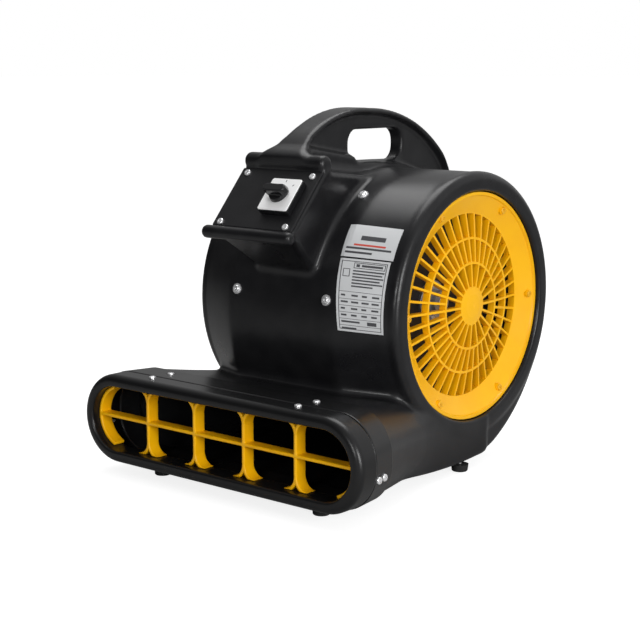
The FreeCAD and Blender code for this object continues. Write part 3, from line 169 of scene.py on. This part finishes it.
class Look:
    """A Principled material with object-space noise for its colour, roughness and grain."""

    def __init__(self, name, color, roughness, metallic=0.0, specular=0.5):
        self.material = bpy.data.materials.new(name)
        self.material.use_nodes = True
        self.tree = self.material.node_tree
        self.shader = self.tree.nodes["Principled BSDF"]
        self.shader.inputs["Base Color"].default_value = (*color, 1)
        self.shader.inputs["Roughness"].default_value = roughness
        self.shader.inputs["Metallic"].default_value = metallic
        self.shader.inputs["Specular IOR Level"].default_value = specular
        self.color, self.roughness = color, roughness
        self.place = self.tree.nodes.new("ShaderNodeTexCoord").outputs["Object"]
        self.normal = None

    def noise(self, scale, detail=3.0, stretch=None):
        source = self.place
        if stretch:
            mapping = self.tree.nodes.new("ShaderNodeMapping")
            mapping.inputs["Scale"].default_value = stretch
            self.tree.links.new(source, mapping.inputs["Vector"])
            source = mapping.outputs["Vector"]
        noise = self.tree.nodes.new("ShaderNodeTexNoise")
        noise.inputs["Scale"].default_value = scale
        noise.inputs["Detail"].default_value = detail
        self.tree.links.new(source, noise.inputs["Vector"])
        return noise.outputs["Fac"]

    def spread(self, value, low, high, from_low=0.35, from_high=0.65):
        ranged = self.tree.nodes.new("ShaderNodeMapRange")
        for key, number in (("From Min", from_low), ("From Max", from_high), ("To Min", low), ("To Max", high)):
            ranged.inputs[key].default_value = number
        self.tree.links.new(value, ranged.inputs["Value"])
        return ranged.outputs["Result"]

    def vary_roughness(self, scale, amount, stretch=None):
        value = self.spread(self.noise(scale, 4.0, stretch), self.roughness - amount, self.roughness + amount)
        self.tree.links.new(value, self.shader.inputs["Roughness"])
        return self

    def vary_color(self, scale, other, stretch=None, from_low=0.4, from_high=0.7):
        mix = self.tree.nodes.new("ShaderNodeMix")
        mix.data_type = "RGBA"
        mix.inputs["A"].default_value = (*self.color, 1)
        mix.inputs["B"].default_value = (*other, 1)
        share = self.spread(self.noise(scale, 5.0, stretch), 0, 1, from_low, from_high)
        self.tree.links.new(share, mix.inputs["Factor"])
        self.tree.links.new(mix.outputs["Result"], self.shader.inputs["Base Color"])
        return self

    def grain(self, scale, strength, distance=0.0002, detail=2.0, stretch=None):
        bump = self.tree.nodes.new("ShaderNodeBump")
        bump.inputs["Strength"].default_value = strength
        bump.inputs["Distance"].default_value = distance
        self.tree.links.new(self.noise(scale, detail, stretch), bump.inputs["Height"])
        if self.normal:
            self.tree.links.new(self.normal, bump.inputs["Normal"])
        self.normal = bump.outputs["Normal"]
        self.tree.links.new(self.normal, self.shader.inputs["Normal"])
        return self


def make_looks():
    looks = {}
    looks["housing_black"] = Look("housing_black", (0.008, 0.008, 0.009), 0.31, 0, 0.3).vary_roughness(
        9, 0.04).vary_color(35, (0.012, 0.012, 0.013)).grain(14, 0.25, 0.002).grain(700, 0.18, 0.0003)
    looks["trim_black"] = Look("trim_black", (0.006, 0.006, 0.0065), 0.29, 0, 0.35).vary_roughness(6, 0.02).grain(
        900, 0.06, 0.0002)
    looks["yellow_plastic"] = Look("yellow_plastic", (0.93, 0.48, 0.002), 0.34, 0, 0.35).vary_roughness(
        30, 0.05).vary_color(25, (0.90, 0.44, 0.002)).grain(600, 0.10, 0.0002)
    # Painted reflection: the guard screws are coloured yellow to stand for the yellow guard mirrored in their small
    # zinc heads.
    looks["screw_yellow"] = Look("screw_yellow", (0.80, 0.42, 0.01), 0.4).vary_roughness(200, 0.07)
    looks["wheel_black"] = Look("wheel_black", (0.012, 0.012, 0.013), 0.45).vary_roughness(60, 0.06)
    looks["screw_chrome"] = Look("screw_chrome", (0.85, 0.85, 0.86), 0.25, 0.7).vary_roughness(200, 0.07)
    looks["sheet_steel"] = Look("sheet_steel", (0.55, 0.56, 0.58), 0.35, 1.0).vary_roughness(60, 0.08).vary_color(
        40, (0.46, 0.47, 0.5))
    looks["cast_alloy"] = Look("cast_alloy", (0.55, 0.56, 0.58), 0.45, 1.0).vary_roughness(120, 0.08).grain(
        700, 0.4, 0.0004)
    looks["motor_paint"] = Look("motor_paint", (0.03, 0.032, 0.035), 0.4).vary_roughness(50, 0.06)
    looks["core_steel"] = Look("core_steel", (0.16, 0.16, 0.17), 0.5, 0.8).grain(
        900, 0.5, 0.0004, 2.0, (4.0, 0.2, 0.2))
    looks["copper_winding"] = Look("copper_winding", (0.6, 0.24, 0.1), 0.35, 1.0).grain(1200, 0.6, 0.0005)
    looks["ground_steel"] = Look("ground_steel", (0.6, 0.6, 0.62), 0.2, 1.0).grain(
        900, 0.15, 0.0002, 2.0, (6.0, 0.3, 0.3))
    looks["cushion_rubber"] = Look("cushion_rubber", (0.018, 0.018, 0.018), 0.75, 0.0, 0.3).grain(500, 0.3, 0.0003)
    looks["panel_black"] = Look("panel_black", (0.009, 0.009, 0.010), 0.42, 0, 0.3).vary_roughness(40, 0.05).grain(
        1500, 0.25, 0.0002)
    looks["switch_black"] = Look("switch_black", (0.008, 0.008, 0.009), 0.22).vary_roughness(80, 0.05)
    looks["switch_silver"] = Look("switch_silver", (0.90, 0.90, 0.90), 0.38, 0.1).grain(
        700, 0.15, 0.0002, 2.0, (0.2, 6.0, 6.0))
    looks["capacitor_grey"] = Look("capacitor_grey", (0.4, 0.4, 0.42), 0.4)
    looks["terminal_white"] = Look("terminal_white", (0.75, 0.75, 0.7), 0.45)
    looks["gland_black"] = Look("gland_black", (0.015, 0.015, 0.016), 0.4).grain(800, 0.2, 0.0003)
    looks["label_silver"] = Look("label_silver", (0.60, 0.61, 0.62), 0.42, 0.25).vary_roughness(60, 0.05)
    looks["print_dark"] = Look("print_dark", (0.05, 0.05, 0.055), 0.5)
    looks["print_red"] = Look("print_red", (0.5, 0.06, 0.04), 0.5)
    return {name: look.material for name, look in looks.items()}


materials = make_looks()


def dress_cad_nodes():
    for entry in frame["record"]["subparts"]:
        node = nodes[entry["node"]]
        for slot in node.material_slots:
            slot.material = materials[entry["material_slot"]]


# ---------------------------------------------------------------- housing

def drum_field(space, grow=0.0):
    """Drum with shoulders that lean in to the round rims; its centre moves to the shaft axis as they do."""
    width = np.abs(space.x)
    soft = 4.0
    past = np.sqrt((width - DRUM["half_width"]) ** 2 + soft ** 2) / 2 + (width - DRUM["half_width"]) / 2
    share = np.clip(past / (SHOULDER_END - DRUM["half_width"]), 0, 1.05)
    radius = DRUM["radius"] + (SHOULDER_RADIUS - DRUM["radius"]) * share
    distance = np.hypot(space.y - DRUM["y"] * (1 - share), space.z - DRUM["z"] * (1 - share)) - radius
    return round_max(distance, width - SHOULDER_END, 6) - grow


def base_field(space):
    """Body under the drum: a flat bottom that curves up behind."""
    y, z, radius = circle_through((0, BASE_BOTTOM), (78, -163), (150, -72))
    side = np.hypot(space.y - y, space.z - z) - radius
    side = round_max(side, BASE_BOTTOM - space.z, 20)
    side = sharp_max(side, -150 - space.y, space.z + 60 + 0.3 * (60 - space.y))
    return round_max(side, np.abs(space.x) - BASE_HALF, 7)


DUCT_SECTIONS = ((-236, 206, -190, -82, 50), (-150, 177, -195, -94, 46), (-60, 155, -198, -101, 40),
                 (20, 155, -198, -103, 30))


def duct_field(space, front=DUCT_END, inset=0.0):
    """Outlet duct whose rounded section changes along its length."""
    places = [section[0] for section in DUCT_SECTIONS]

    def along(column):
        curve = np.polyfit(places, [section[column] for section in DUCT_SECTIONS], 3)
        return np.polyval(curve, np.clip(space.y, -262, 20)).astype(np.float32)

    half, low, high, radius = (along(column) for column in (1, 2, 3, 4))
    across = np.abs(space.x) - half
    up = np.abs(space.z - (low + high) / 2) - (high - low) / 2
    section = round_max(across, up, radius) + inset
    return sharp_max(section, front - space.y, space.y - 20)


def panel_coordinates(space):
    """Distance up the panel's slope and out of its face."""
    y, z = space.y - PANEL["y"], space.z - PANEL["z"]
    up = y * math.cos(PANEL["tilt"]) + z * math.sin(PANEL["tilt"])
    out = -y * math.sin(PANEL["tilt"]) + z * math.cos(PANEL["tilt"])
    return up, out


def bar_field(space, up, out, at_up, at_out, radius, half_length, end_radius):
    return round_max(np.hypot(up - at_up, out - at_out) - radius, np.abs(space.x) - half_length, end_radius)


def hood_field(space):
    """Hood that carries the control panel, with a rounded lip above and below it."""
    up, out = panel_coordinates(space)
    side = np.abs(space.x) - (65 + 0.25 * np.minimum(out, 0))
    walls = round_max(side / 1.03, out + 2.6, 4)
    top = (up - 84.5) * 0.8235 + (out + 2.6) * 0.567
    bottom = -(up + 11.5) * 0.9977 - (out + 2.6) * 0.068
    box = round_max(round_max(walls, bottom, 7), top, 7)
    box = sharp_max(box, -120 - out)
    upper = bar_field(space, up, out, 92.5, -1, 10.5, 62, 6)
    lower = bar_field(space, up, out, -14.5, -1, 8, 69, 5)
    return round_min(round_min(box, upper, 7), lower, 5)


def handle_outline(space):
    """Distance outside the handle's side view: two arcs over the top and a heel that turns down to the drum."""
    def inside(circle):
        return np.hypot(space.y - circle[0], space.z - circle[1]) - circle[2]

    front = inside(circle_through((-180, 186), (-126, 223.5), (-33, 239)))
    rear = inside(circle_through((-33, 239), (60, 219.3), (153.5, 146.7)))
    heel = np.where(space.z < 100, inside((73, 100, 90)), space.y - 163)
    return round_max(np.where(space.y < -33, front, rear), heel, 45)


def handle_field(space):
    """Fore-and-aft handle with a raised border round each flank, a ledge along its foot and a hand hole."""
    crest = handle_outline(space)
    half = np.interp(space.y, [-190, -165, -150, -130, 60, 165], [34, 24.5, 20.5, 19, 19, 15])
    ledge = np.interp(space.y, [-190, 30, 165], [202, 166, 130])
    recess = 9 * smooth_step(-crest, 4.5, 10) * smooth_step(space.z - ledge, -3, 3)
    flank = np.abs(space.x) - (half - recess)
    plate = round_max(crest, flank, 5)
    hole = rounded_box(space.y + 15.5, space.z - 193, 53.5, 20, 17)
    plate = round_max(plate, -hole, 4)
    toe = -0.686 * (space.y + 180) - 0.728 * (space.z - 186)
    return sharp_max(plate, 40 - space.z, toe)


def rim_field(space):
    """Rounded lip round each intake."""
    reach = np.hypot(space.y, space.z)
    middle, half = (RIM["face"] + RIM["start"]) / 2, (RIM["face"] - RIM["start"]) / 2
    mean, depth = (RIM["radius"] + 105) / 2, (RIM["radius"] - 105) / 2
    return rounded_box(np.abs(space.x) - middle, reach - mean, half, depth, 10)


def spigot_field(space):
    """Thin sleeve inside the collar."""
    half = 206 + 5.5 * (-235 - space.y) / 27
    section = rounded_box(space.x, space.z + 136, half, 54, 50)
    band = np.maximum(section + WALL + 0.3, -(section + WALL + 3.8))
    return sharp_max(band, -262 - space.y, space.y + 232)


def make_housing():
    space = Field((-212, -266, -204), (212, 172, 246), 2.4)
    drum, base, duct = drum_field(space), base_field(space), duct_field(space)
    body = round_min(drum, base, 6)
    body = round_min(body, duct, 14)
    body = round_min(body, hood_field(space), 10)
    body = round_min(body, handle_field(space), 13)
    body = round_min(body, rim_field(space), 2.5)
    reach = np.hypot(space.y, space.z)
    width = np.abs(space.x)
    air = np.minimum(np.minimum(drum, base) + WALL, duct_field(space, -262, WALL))
    air = np.maximum(air, -np.maximum(reach - RIM["radius"], RIM["web"] - WALL - width))
    shell = round_max(body, -air, 1)
    shell = round_max(shell, -np.maximum(reach - RIM["bore"], RIM["web"] - width), 3.5)
    shell = round_max(shell, -np.maximum(reach - RIM["mouth"], RIM["web"] - WALL - 2 - width), 1)
    shell = np.minimum(shell, spigot_field(space))
    shell = np.maximum(shell, BASE_BOTTOM - space.z)
    data = space.mesh("scroll_housing_skin", shell, fan_to_row)
    add_piece("scroll_housing_skin", data, materials["housing_black"], "housing", "housing_black",
              "scroll_housing")


# ---------------------------------------------------------------- outlet

def stadium(space, half_width, low, high):
    return rounded_box(space.x, space.z - (low + high) / 2, half_width, (high - low) / 2, (high - low) / 2 - 0.01)


def make_outlet_ring():
    low, high = ring_low, ring_high
    space = Field((low.x - 3, low.y - 3, low.z - 3), (high.x + 3, high.y + 3, high.z + 3), 1.1)
    outside = stadium(space, -low.x, low.z, high.z)
    band = round_max(outside, low.y - space.y, 9)
    band = round_max(band, space.y - high.y, 1.2)
    band = round_max(band, -(outside + 15), 3.5)
    hollow = np.maximum(outside + 3.5, -(outside + 11.5))
    hollow = sharp_max(hollow, low.y + 10 - space.y)
    band = np.maximum(band, -hollow)
    add_piece("outlet_ring_skin", space.mesh("outlet_ring_skin", band, fan_to_row), materials["trim_black"],
              "housing", "trim_black", "outlet_ring")


def collar_screws():
    """Seat point and outward direction of the collar's screws."""
    places = [((x, -256.8, -80), (0, 0, 1)) for x in (-116.4, 116.4)]
    for side in (-1, 1):
        places.append(((side * 213.4, -257, -150), (side, 0, 0)))
        places.append(((side * 216.2, -270, -150), (side, 0, 0)))
    return places


def make_collar():
    low, high = collar_low, collar_high
    space = Field((low.x - 3, low.y - 3, low.z - 3), (high.x + 3, high.y + 3, high.z + 3), 1.2)
    share = (high.y - space.y) / (high.y - low.y)
    half = 209 + 9 * share
    bottom, top = -192 + 1.5 * share, -80.5 + 0.7 * share
    across = np.abs(space.x) - half
    up = np.abs(space.z - (top + bottom) / 2) - (top - bottom) / 2
    outside = round_max(across, up, 51)
    ends = round_max(low.y - space.y, space.y - high.y, 0.1)
    band = round_max(outside, ends, 1.6)
    band = np.maximum(band, -(outside + 3.5))
    for seat, way in collar_screws():
        along = sum((axis - start) * part for axis, start, part in zip((space.x, space.y, space.z), seat, way))
        if way[2]:
            aside = np.hypot(space.x - seat[0], space.y - seat[1])
        else:
            aside = np.hypot(space.y - seat[1], space.z - seat[2])
        band = round_max(band, -np.maximum(aside - 5.6, -0.8 - along), 0.7)
    add_piece("outlet_collar_skin", space.mesh("outlet_collar_skin", band, fan_to_row), materials["trim_black"],
              "housing", "trim_black", "outlet_collar")


def make_grille():
    """Cross bar, forked uprights and end strips, all drawn across the opening and given the bars' depth."""
    low, high = grille_low, grille_high
    space = Field((low.x - 2, low.y - 2, low.z - 2), (high.x + 2, high.y + 2, high.z + 2), 0.9)
    thickness, fork = 4.0, 17.0
    middle = (low.z + high.z) / 2
    half_opening = (high.z - low.z) / 2 + 0.2
    reach = high.x + 0.2
    height = np.abs(space.z - middle)
    shape = height - thickness / 2
    stem = half_opening - fork + 1
    for column in (-1.5, -0.5, 0.5, 1.5):
        x = column * 78.6
        upright = np.maximum(np.abs(space.x - x) - thickness / 2, height - stem)
        across = np.abs(space.x - x) - fork
        arm = np.abs(np.hypot(across, height - stem) - fork) - thickness / 2
        arm = sharp_max(arm, across, stem - height)
        shape = round_min(shape, np.minimum(upright, arm), 1.5)
    end = np.abs(np.hypot(np.abs(space.x) - (reach - half_opening), space.z - middle) - (
        half_opening - 0.2 - thickness / 2)) - thickness / 2
    beyond = np.abs(space.x) - (reach - half_opening)
    end = sharp_max(end, height * math.cos(math.radians(70)) - beyond * math.sin(math.radians(70)))
    shape = round_min(shape, end, 1.5)
    edge = stadium(space, reach - 0.2, low.z, high.z)
    bars = round_max(np.maximum(shape, edge), np.abs(space.y - (low.y + high.y) / 2) - (high.y - low.y) / 2, 1)
    add_piece("outlet_grille_skin", space.mesh("outlet_grille_skin", bars, fan_to_row), materials["yellow_plastic"],
              "housing", "yellow_plastic", "outlet_grille")


# ---------------------------------------------------------------- control panel

def make_panel():
    plate = Field((-64, -8, -4), (64, 83, 3), 0.6)
    middle = (PANEL["low"] + PANEL["high"]) / 2
    outline = rounded_box(plate.x, plate.y - middle, PANEL["half_width"], (PANEL["high"] - PANEL["low"]) / 2, 2)
    slab = round_max(outline, np.abs(plate.z + 1.25) - 1.25, 0.8)
    add_piece("control_panel_skin", plate.mesh("control_panel_skin", slab, panel_to_row), materials["panel_black"],
              "housing", "panel_black", "control_panel")


def make_switch():
    x, up = SWITCH
    space = Field((x - 25, up - 25, -1), (x + 25, up + 25, 12), 0.4)
    outline = rounded_box(space.x - x, space.y - up, 23, 23, 2.5)
    hole = 6 - np.hypot(space.x - x, space.y - up)
    block = np.maximum(round_max(outline, np.abs(space.z - 4.55) - 4.45, 1), hole)
    add_piece("switch_block_skin", space.mesh("switch_block_skin", block, panel_to_row), materials["switch_black"],
              "housing", "switch_black", "switch_block")
    outline = rounded_box(space.x - x, space.y - up, 22.5, 22.5, 3)
    plate = np.maximum(round_max(outline, np.abs(space.z - 9.8) - 0.7, 0.4), hole)
    add_piece("switch_plate_skin", space.mesh("switch_plate_skin", plate, panel_to_row), materials["switch_silver"],
              "housing", "switch_silver", "switch_plate")


def make_knob():
    x, up = SWITCH
    base = 10.8
    space = Field((x - 18, up - 18, base - 1), (x + 18, up + 18, base + 16), 0.4)
    across, along, rise = space.y - up, space.x - x, space.z - base
    reach = np.hypot(across, along)
    skirt = round_max(reach - (12.5 - 0.2 * rise), np.abs(rise - 2.5) - 2.5, 0.8)
    taper = 5.2 - 0.8 * smooth_step(np.abs(along), 10, 16)
    bar = round_max(np.abs(across) - taper, np.abs(along) - 16, 3.5)
    bar = round_max(bar, np.abs(rise - 8.25) - 5.75, 1.4)
    knob = round_min(skirt, bar, 1.5)
    add_piece("speed_knob_skin", space.mesh("speed_knob_skin", knob, panel_to_row), materials["switch_black"],
              "speed_control", "switch_black", "speed_knob")


def make_dial_marks():
    """Tick marks on the switch plate, one for each of the knob's four positions."""
    x, up = SWITCH
    points, faces = [], []
    for turn in range(4):
        angle = math.radians(180 - 45 * turn)
        way = Vector((math.cos(angle), math.sin(angle), 0))
        aside = Vector((-way.y, way.x, 0)) * 0.5
        for out, height in ((17.6, 10.45), (20.4, 10.45), (17.6, 10.6), (20.4, 10.6)):
            for hand in (-1, 1):
                spot = Vector((x, up, 0)) + way * out + aside * hand
                points.append(panel_to_row((spot.x, spot.y, height)))
        first = 8 * turn
        for face in ((0, 2, 3, 1), (4, 5, 7, 6), (0, 1, 5, 4), (1, 3, 7, 5), (3, 2, 6, 7), (2, 0, 4, 6)):
            faces.append([first + corner for corner in face])
    data = bpy.data.meshes.new("dial_marks")
    data.from_pydata(points, [], faces)
    add_piece("dial_marks", data, materials["print_dark"], "housing", "switch_black")


# ---------------------------------------------------------------- labels

def shoulder_point(x, angle, lift):
    """Point over the drum's right shoulder at an angle above the front, measured about the drum's centre."""
    share = (x - DRUM["half_width"]) / (SHOULDER_END - DRUM["half_width"])
    share = max(share, 0)
    radius = DRUM["radius"] + (SHOULDER_RADIUS - DRUM["radius"]) * share + lift
    way_y, way_z = -math.cos(math.radians(angle)), math.sin(math.radians(angle))
    gap_y, gap_z = DRUM["y"] * share, DRUM["z"] * share
    along = way_y * gap_y + way_z * gap_z
    run = -along + math.sqrt(along ** 2 - gap_y ** 2 - gap_z ** 2 + radius ** 2)
    return fan_to_row((x, DRUM["y"] + way_y * run, DRUM["z"] + way_z * run))


def on_label(label, u, v):
    """X and angle at shares of a label's width from its left edge and of its height from its top edge."""
    top_left, top_right, low_right, low_left = (np.array(corner, float) for corner in label)
    return (top_left * (1 - u) + top_right * u) * (1 - v) + (low_left * (1 - u) + low_right * u) * v


def block(label, left, right, top, bottom):
    """Corners of a printed block from its edges, given as shares of the label's width and height."""
    return [on_label(label, *share) for share in ((left, top), (right, top), (right, bottom), (left, bottom))]


def sheet_mesh(name, patches, low_lift, high_lift):
    """Closed thin patches that follow the shoulder; each patch is four corners, clockwise from the top left."""
    points, faces = [], []
    for patch in patches:
        first = len(points)
        width = patch[1][0] - patch[0][0]
        height = patch[0][1] - patch[3][1]
        columns, rows = max(2, int(width / 4) + 1), max(2, int(height / 1.2) + 2)
        for lift in (low_lift, high_lift):
            for column in range(columns):
                for row in range(rows):
                    x, angle = on_label(patch, column / (columns - 1), 1 - row / (rows - 1))
                    points.append(shoulder_point(x, angle, lift))
        layer = columns * rows

        def at(column, row, level):
            return first + level * layer + column * rows + row

        for column in range(columns - 1):
            for row in range(rows - 1):
                for level, order in ((0, 1), (1, -1)):
                    face = [at(column, row, level), at(column + 1, row, level), at(column + 1, row + 1, level),
                            at(column, row + 1, level)]
                    faces.append(face[::order])
        for column in range(columns - 1):
            for row, order in ((0, 1), (rows - 1, -1)):
                face = [at(column, row, 0), at(column, row, 1), at(column + 1, row, 1), at(column + 1, row, 0)]
                faces.append(face[::order])
        for row in range(rows - 1):
            for column, order in ((0, -1), (columns - 1, 1)):
                face = [at(column, row, 0), at(column, row, 1), at(column, row + 1, 1), at(column, row + 1, 0)]
                faces.append(face[::order])
    data = bpy.data.meshes.new(name)
    data.from_pydata(points, [], faces)
    return data


def printed_rows(label, left, right, top, pitch, height, shares):
    """Bars that stand for lines of print; each share is the part of the width that a line fills."""
    return [block(label, left, left + (right - left) * share, top + pitch * row, top + pitch * row + height)
            for row, share in enumerate(shares)]


def box_outline(label, left, right, top, bottom):
    """Four thin bars round a printed box."""
    across, down = 0.014, 0.009
    return [block(label, left, right, top, top + down), block(label, left, right, bottom - down, bottom),
            block(label, left, left + across, top + down, bottom - down),
            block(label, right - across, right, top + down, bottom - down)]


def make_labels():
    info = sheet_mesh("info_label_skin", [INFO_LABEL], 0.05, 0.45)
    add_piece("info_label_skin", info, materials["label_silver"], "housing", "label_silver", "info_label")
    rating = sheet_mesh("rating_label_skin", [RATING_LABEL], 0.05, 0.45)
    add_piece("rating_label_skin", rating, materials["label_silver"], "housing", "label_silver", "rating_label")
    dark = [block(INFO_LABEL, 0.30, 0.76, 0.34, 0.48)]
    dark += printed_rows(INFO_LABEL, 0.07, 0.92, 0.70, 0.13, 0.06, (1, 0.6))
    dark += box_outline(RATING_LABEL, 0.05, 0.96, 0.03, 0.97)
    dark += box_outline(RATING_LABEL, 0.30, 0.93, 0.05, 0.13)
    dark += [block(RATING_LABEL, 0.35, 0.42, 0.07, 0.11), block(RATING_LABEL, 0.46, 0.88, 0.075, 0.105)]
    dark += box_outline(RATING_LABEL, 0.10, 0.24, 0.14, 0.25)
    dark += printed_rows(RATING_LABEL, 0.30, 0.93, 0.155, 0.042, 0.02, (1, 0.95, 1, 0.9, 1, 0.7))
    dark += [block(RATING_LABEL, 0.064, 0.946, line, line + 0.006) for line in (0.45, 0.55, 0.64, 0.73, 0.82, 0.91)]
    for column, share in ((0.10, 0.6), (0.32, 0.9), (0.54, 0.7), (0.75, 1)):
        dark += printed_rows(RATING_LABEL, column, column + 0.15, 0.49, 0.09, 0.025, (share, 1, share, 0.8))
    dark += printed_rows(RATING_LABEL, 0.10, 0.50, 0.85, 0.09, 0.025, (1, 0.8))
    dark += [block(RATING_LABEL, 0.66, 0.86, 0.845, 0.895)]
    ink = sheet_mesh("label_print", dark, 0.46, 0.56)
    add_piece("label_print", ink, materials["print_dark"], "housing", "label_silver")
    red = printed_rows(INFO_LABEL, 0.20, 0.80, 0.60, 0.12, 0.055, (1,))
    add_piece("label_print_red", sheet_mesh("label_print_red", red, 0.46, 0.56), materials["print_red"], "housing",
              "label_silver")


# ---------------------------------------------------------------- stage

def add_area(name, place, aim, size, power, color=(1, 1, 1)):
    light = bpy.data.lights.new(name, "AREA")
    light.shape = "RECTANGLE"
    light.size, light.size_y = size
    light.energy = power
    light.color = color
    lamp = bpy.data.objects.new(name, light)
    bpy.context.scene.collection.objects.link(lamp)
    lamp.location = place
    lamp.rotation_euler = (Vector(aim) - Vector(place)).to_track_quat("-Z", "Y").to_euler()


def make_floor():
    reach = 60.0
    data = bpy.data.meshes.new("floor")
    data.from_pydata([(-reach, -reach, 0), (reach, -reach, 0), (reach, reach, 0), (-reach, reach, 0)], [],
                     [(0, 1, 2, 3)])
    floor = bpy.data.objects.new("floor", data)
    bpy.context.scene.collection.objects.link(floor)
    look = Look("floor", (0.4, 0.4, 0.4), 0.8, 0.0, 0.1)
    brighten = look.tree.nodes.new("ShaderNodeEmission")
    look.tree.links.new(look.tree.nodes.new("ShaderNodeLightPath").outputs["Is Camera Ray"],
                        brighten.inputs["Strength"])
    both = look.tree.nodes.new("ShaderNodeAddShader")
    look.tree.links.new(look.shader.outputs["BSDF"], both.inputs[0])
    look.tree.links.new(brighten.outputs["Emission"], both.inputs[1])
    look.tree.links.new(both.outputs["Shader"], look.tree.nodes["Material Output"].inputs["Surface"])
    brighten.inputs["Color"].default_value = (0.82, 0.82, 0.82, 1)
    data.materials.append(look.material)


def make_world():
    """White backdrop for the camera; what lights the object is dim in front and brighter above and behind."""
    world = bpy.data.worlds.new("studio")
    bpy.context.scene.world = world
    world.use_nodes = True
    tree = world.node_tree
    background = tree.nodes["Background"]
    background.inputs["Color"].default_value = (1, 1, 1, 1)
    way = tree.nodes.new("ShaderNodeTexCoord").outputs["Generated"]
    facing = tree.nodes.new("ShaderNodeVectorMath")
    facing.operation = "DOT_PRODUCT"
    facing.inputs[1].default_value = (0.45, 0.60, 0.66)
    tree.links.new(way, facing.inputs[0])
    ranged = tree.nodes.new("ShaderNodeMapRange")
    for key, number in (("From Min", -0.3), ("From Max", 0.9), ("To Min", 0.04), ("To Max", 0.75)):
        ranged.inputs[key].default_value = number
    tree.links.new(facing.outputs["Value"], ranged.inputs["Value"])
    seen = tree.nodes.new("ShaderNodeLightPath").outputs["Is Camera Ray"]
    strength = tree.nodes.new("ShaderNodeMath")
    strength.operation = "MAXIMUM"
    tree.links.new(ranged.outputs["Result"], strength.inputs[0])
    tree.links.new(seen, strength.inputs[1])
    tree.links.new(strength.outputs["Value"], background.inputs["Strength"])


def make_lights():
    add_area("overhead", (-0.3, 0.5, 2.4), (0, 0, 0.2), (1.8, 1.6), 38)
    add_area("side", (2.3, -0.9, 0.7), (0.1, 0.05, 0.2), (0.7, 0.9), 32)
    add_area("front", (1.1, -2.5, 0.9), (0, 0, 0.1), (0.4, 0.5), 16)


def make_camera():
    camera_data = bpy.data.cameras.new("camera")
    camera_data.sensor_width = 36
    camera_data.lens = 82.45
    camera = bpy.data.objects.new("camera", camera_data)
    bpy.context.scene.collection.objects.link(camera)
    camera.location = (1.1509, -1.4070, 0.4959)
    camera.rotation_euler = (math.radians(90 - 9.787), 0, math.radians(40.118))
    bpy.context.scene.camera = camera


dress_cad_nodes()
make_housing()
make_outlet_ring()
make_collar()
make_grille()
make_panel()
make_switch()
make_knob()
make_dial_marks()
make_labels()
make_floor()
make_world()
make_lights()
make_camera()
bpy.context.scene.view_settings.view_transform = "Standard"
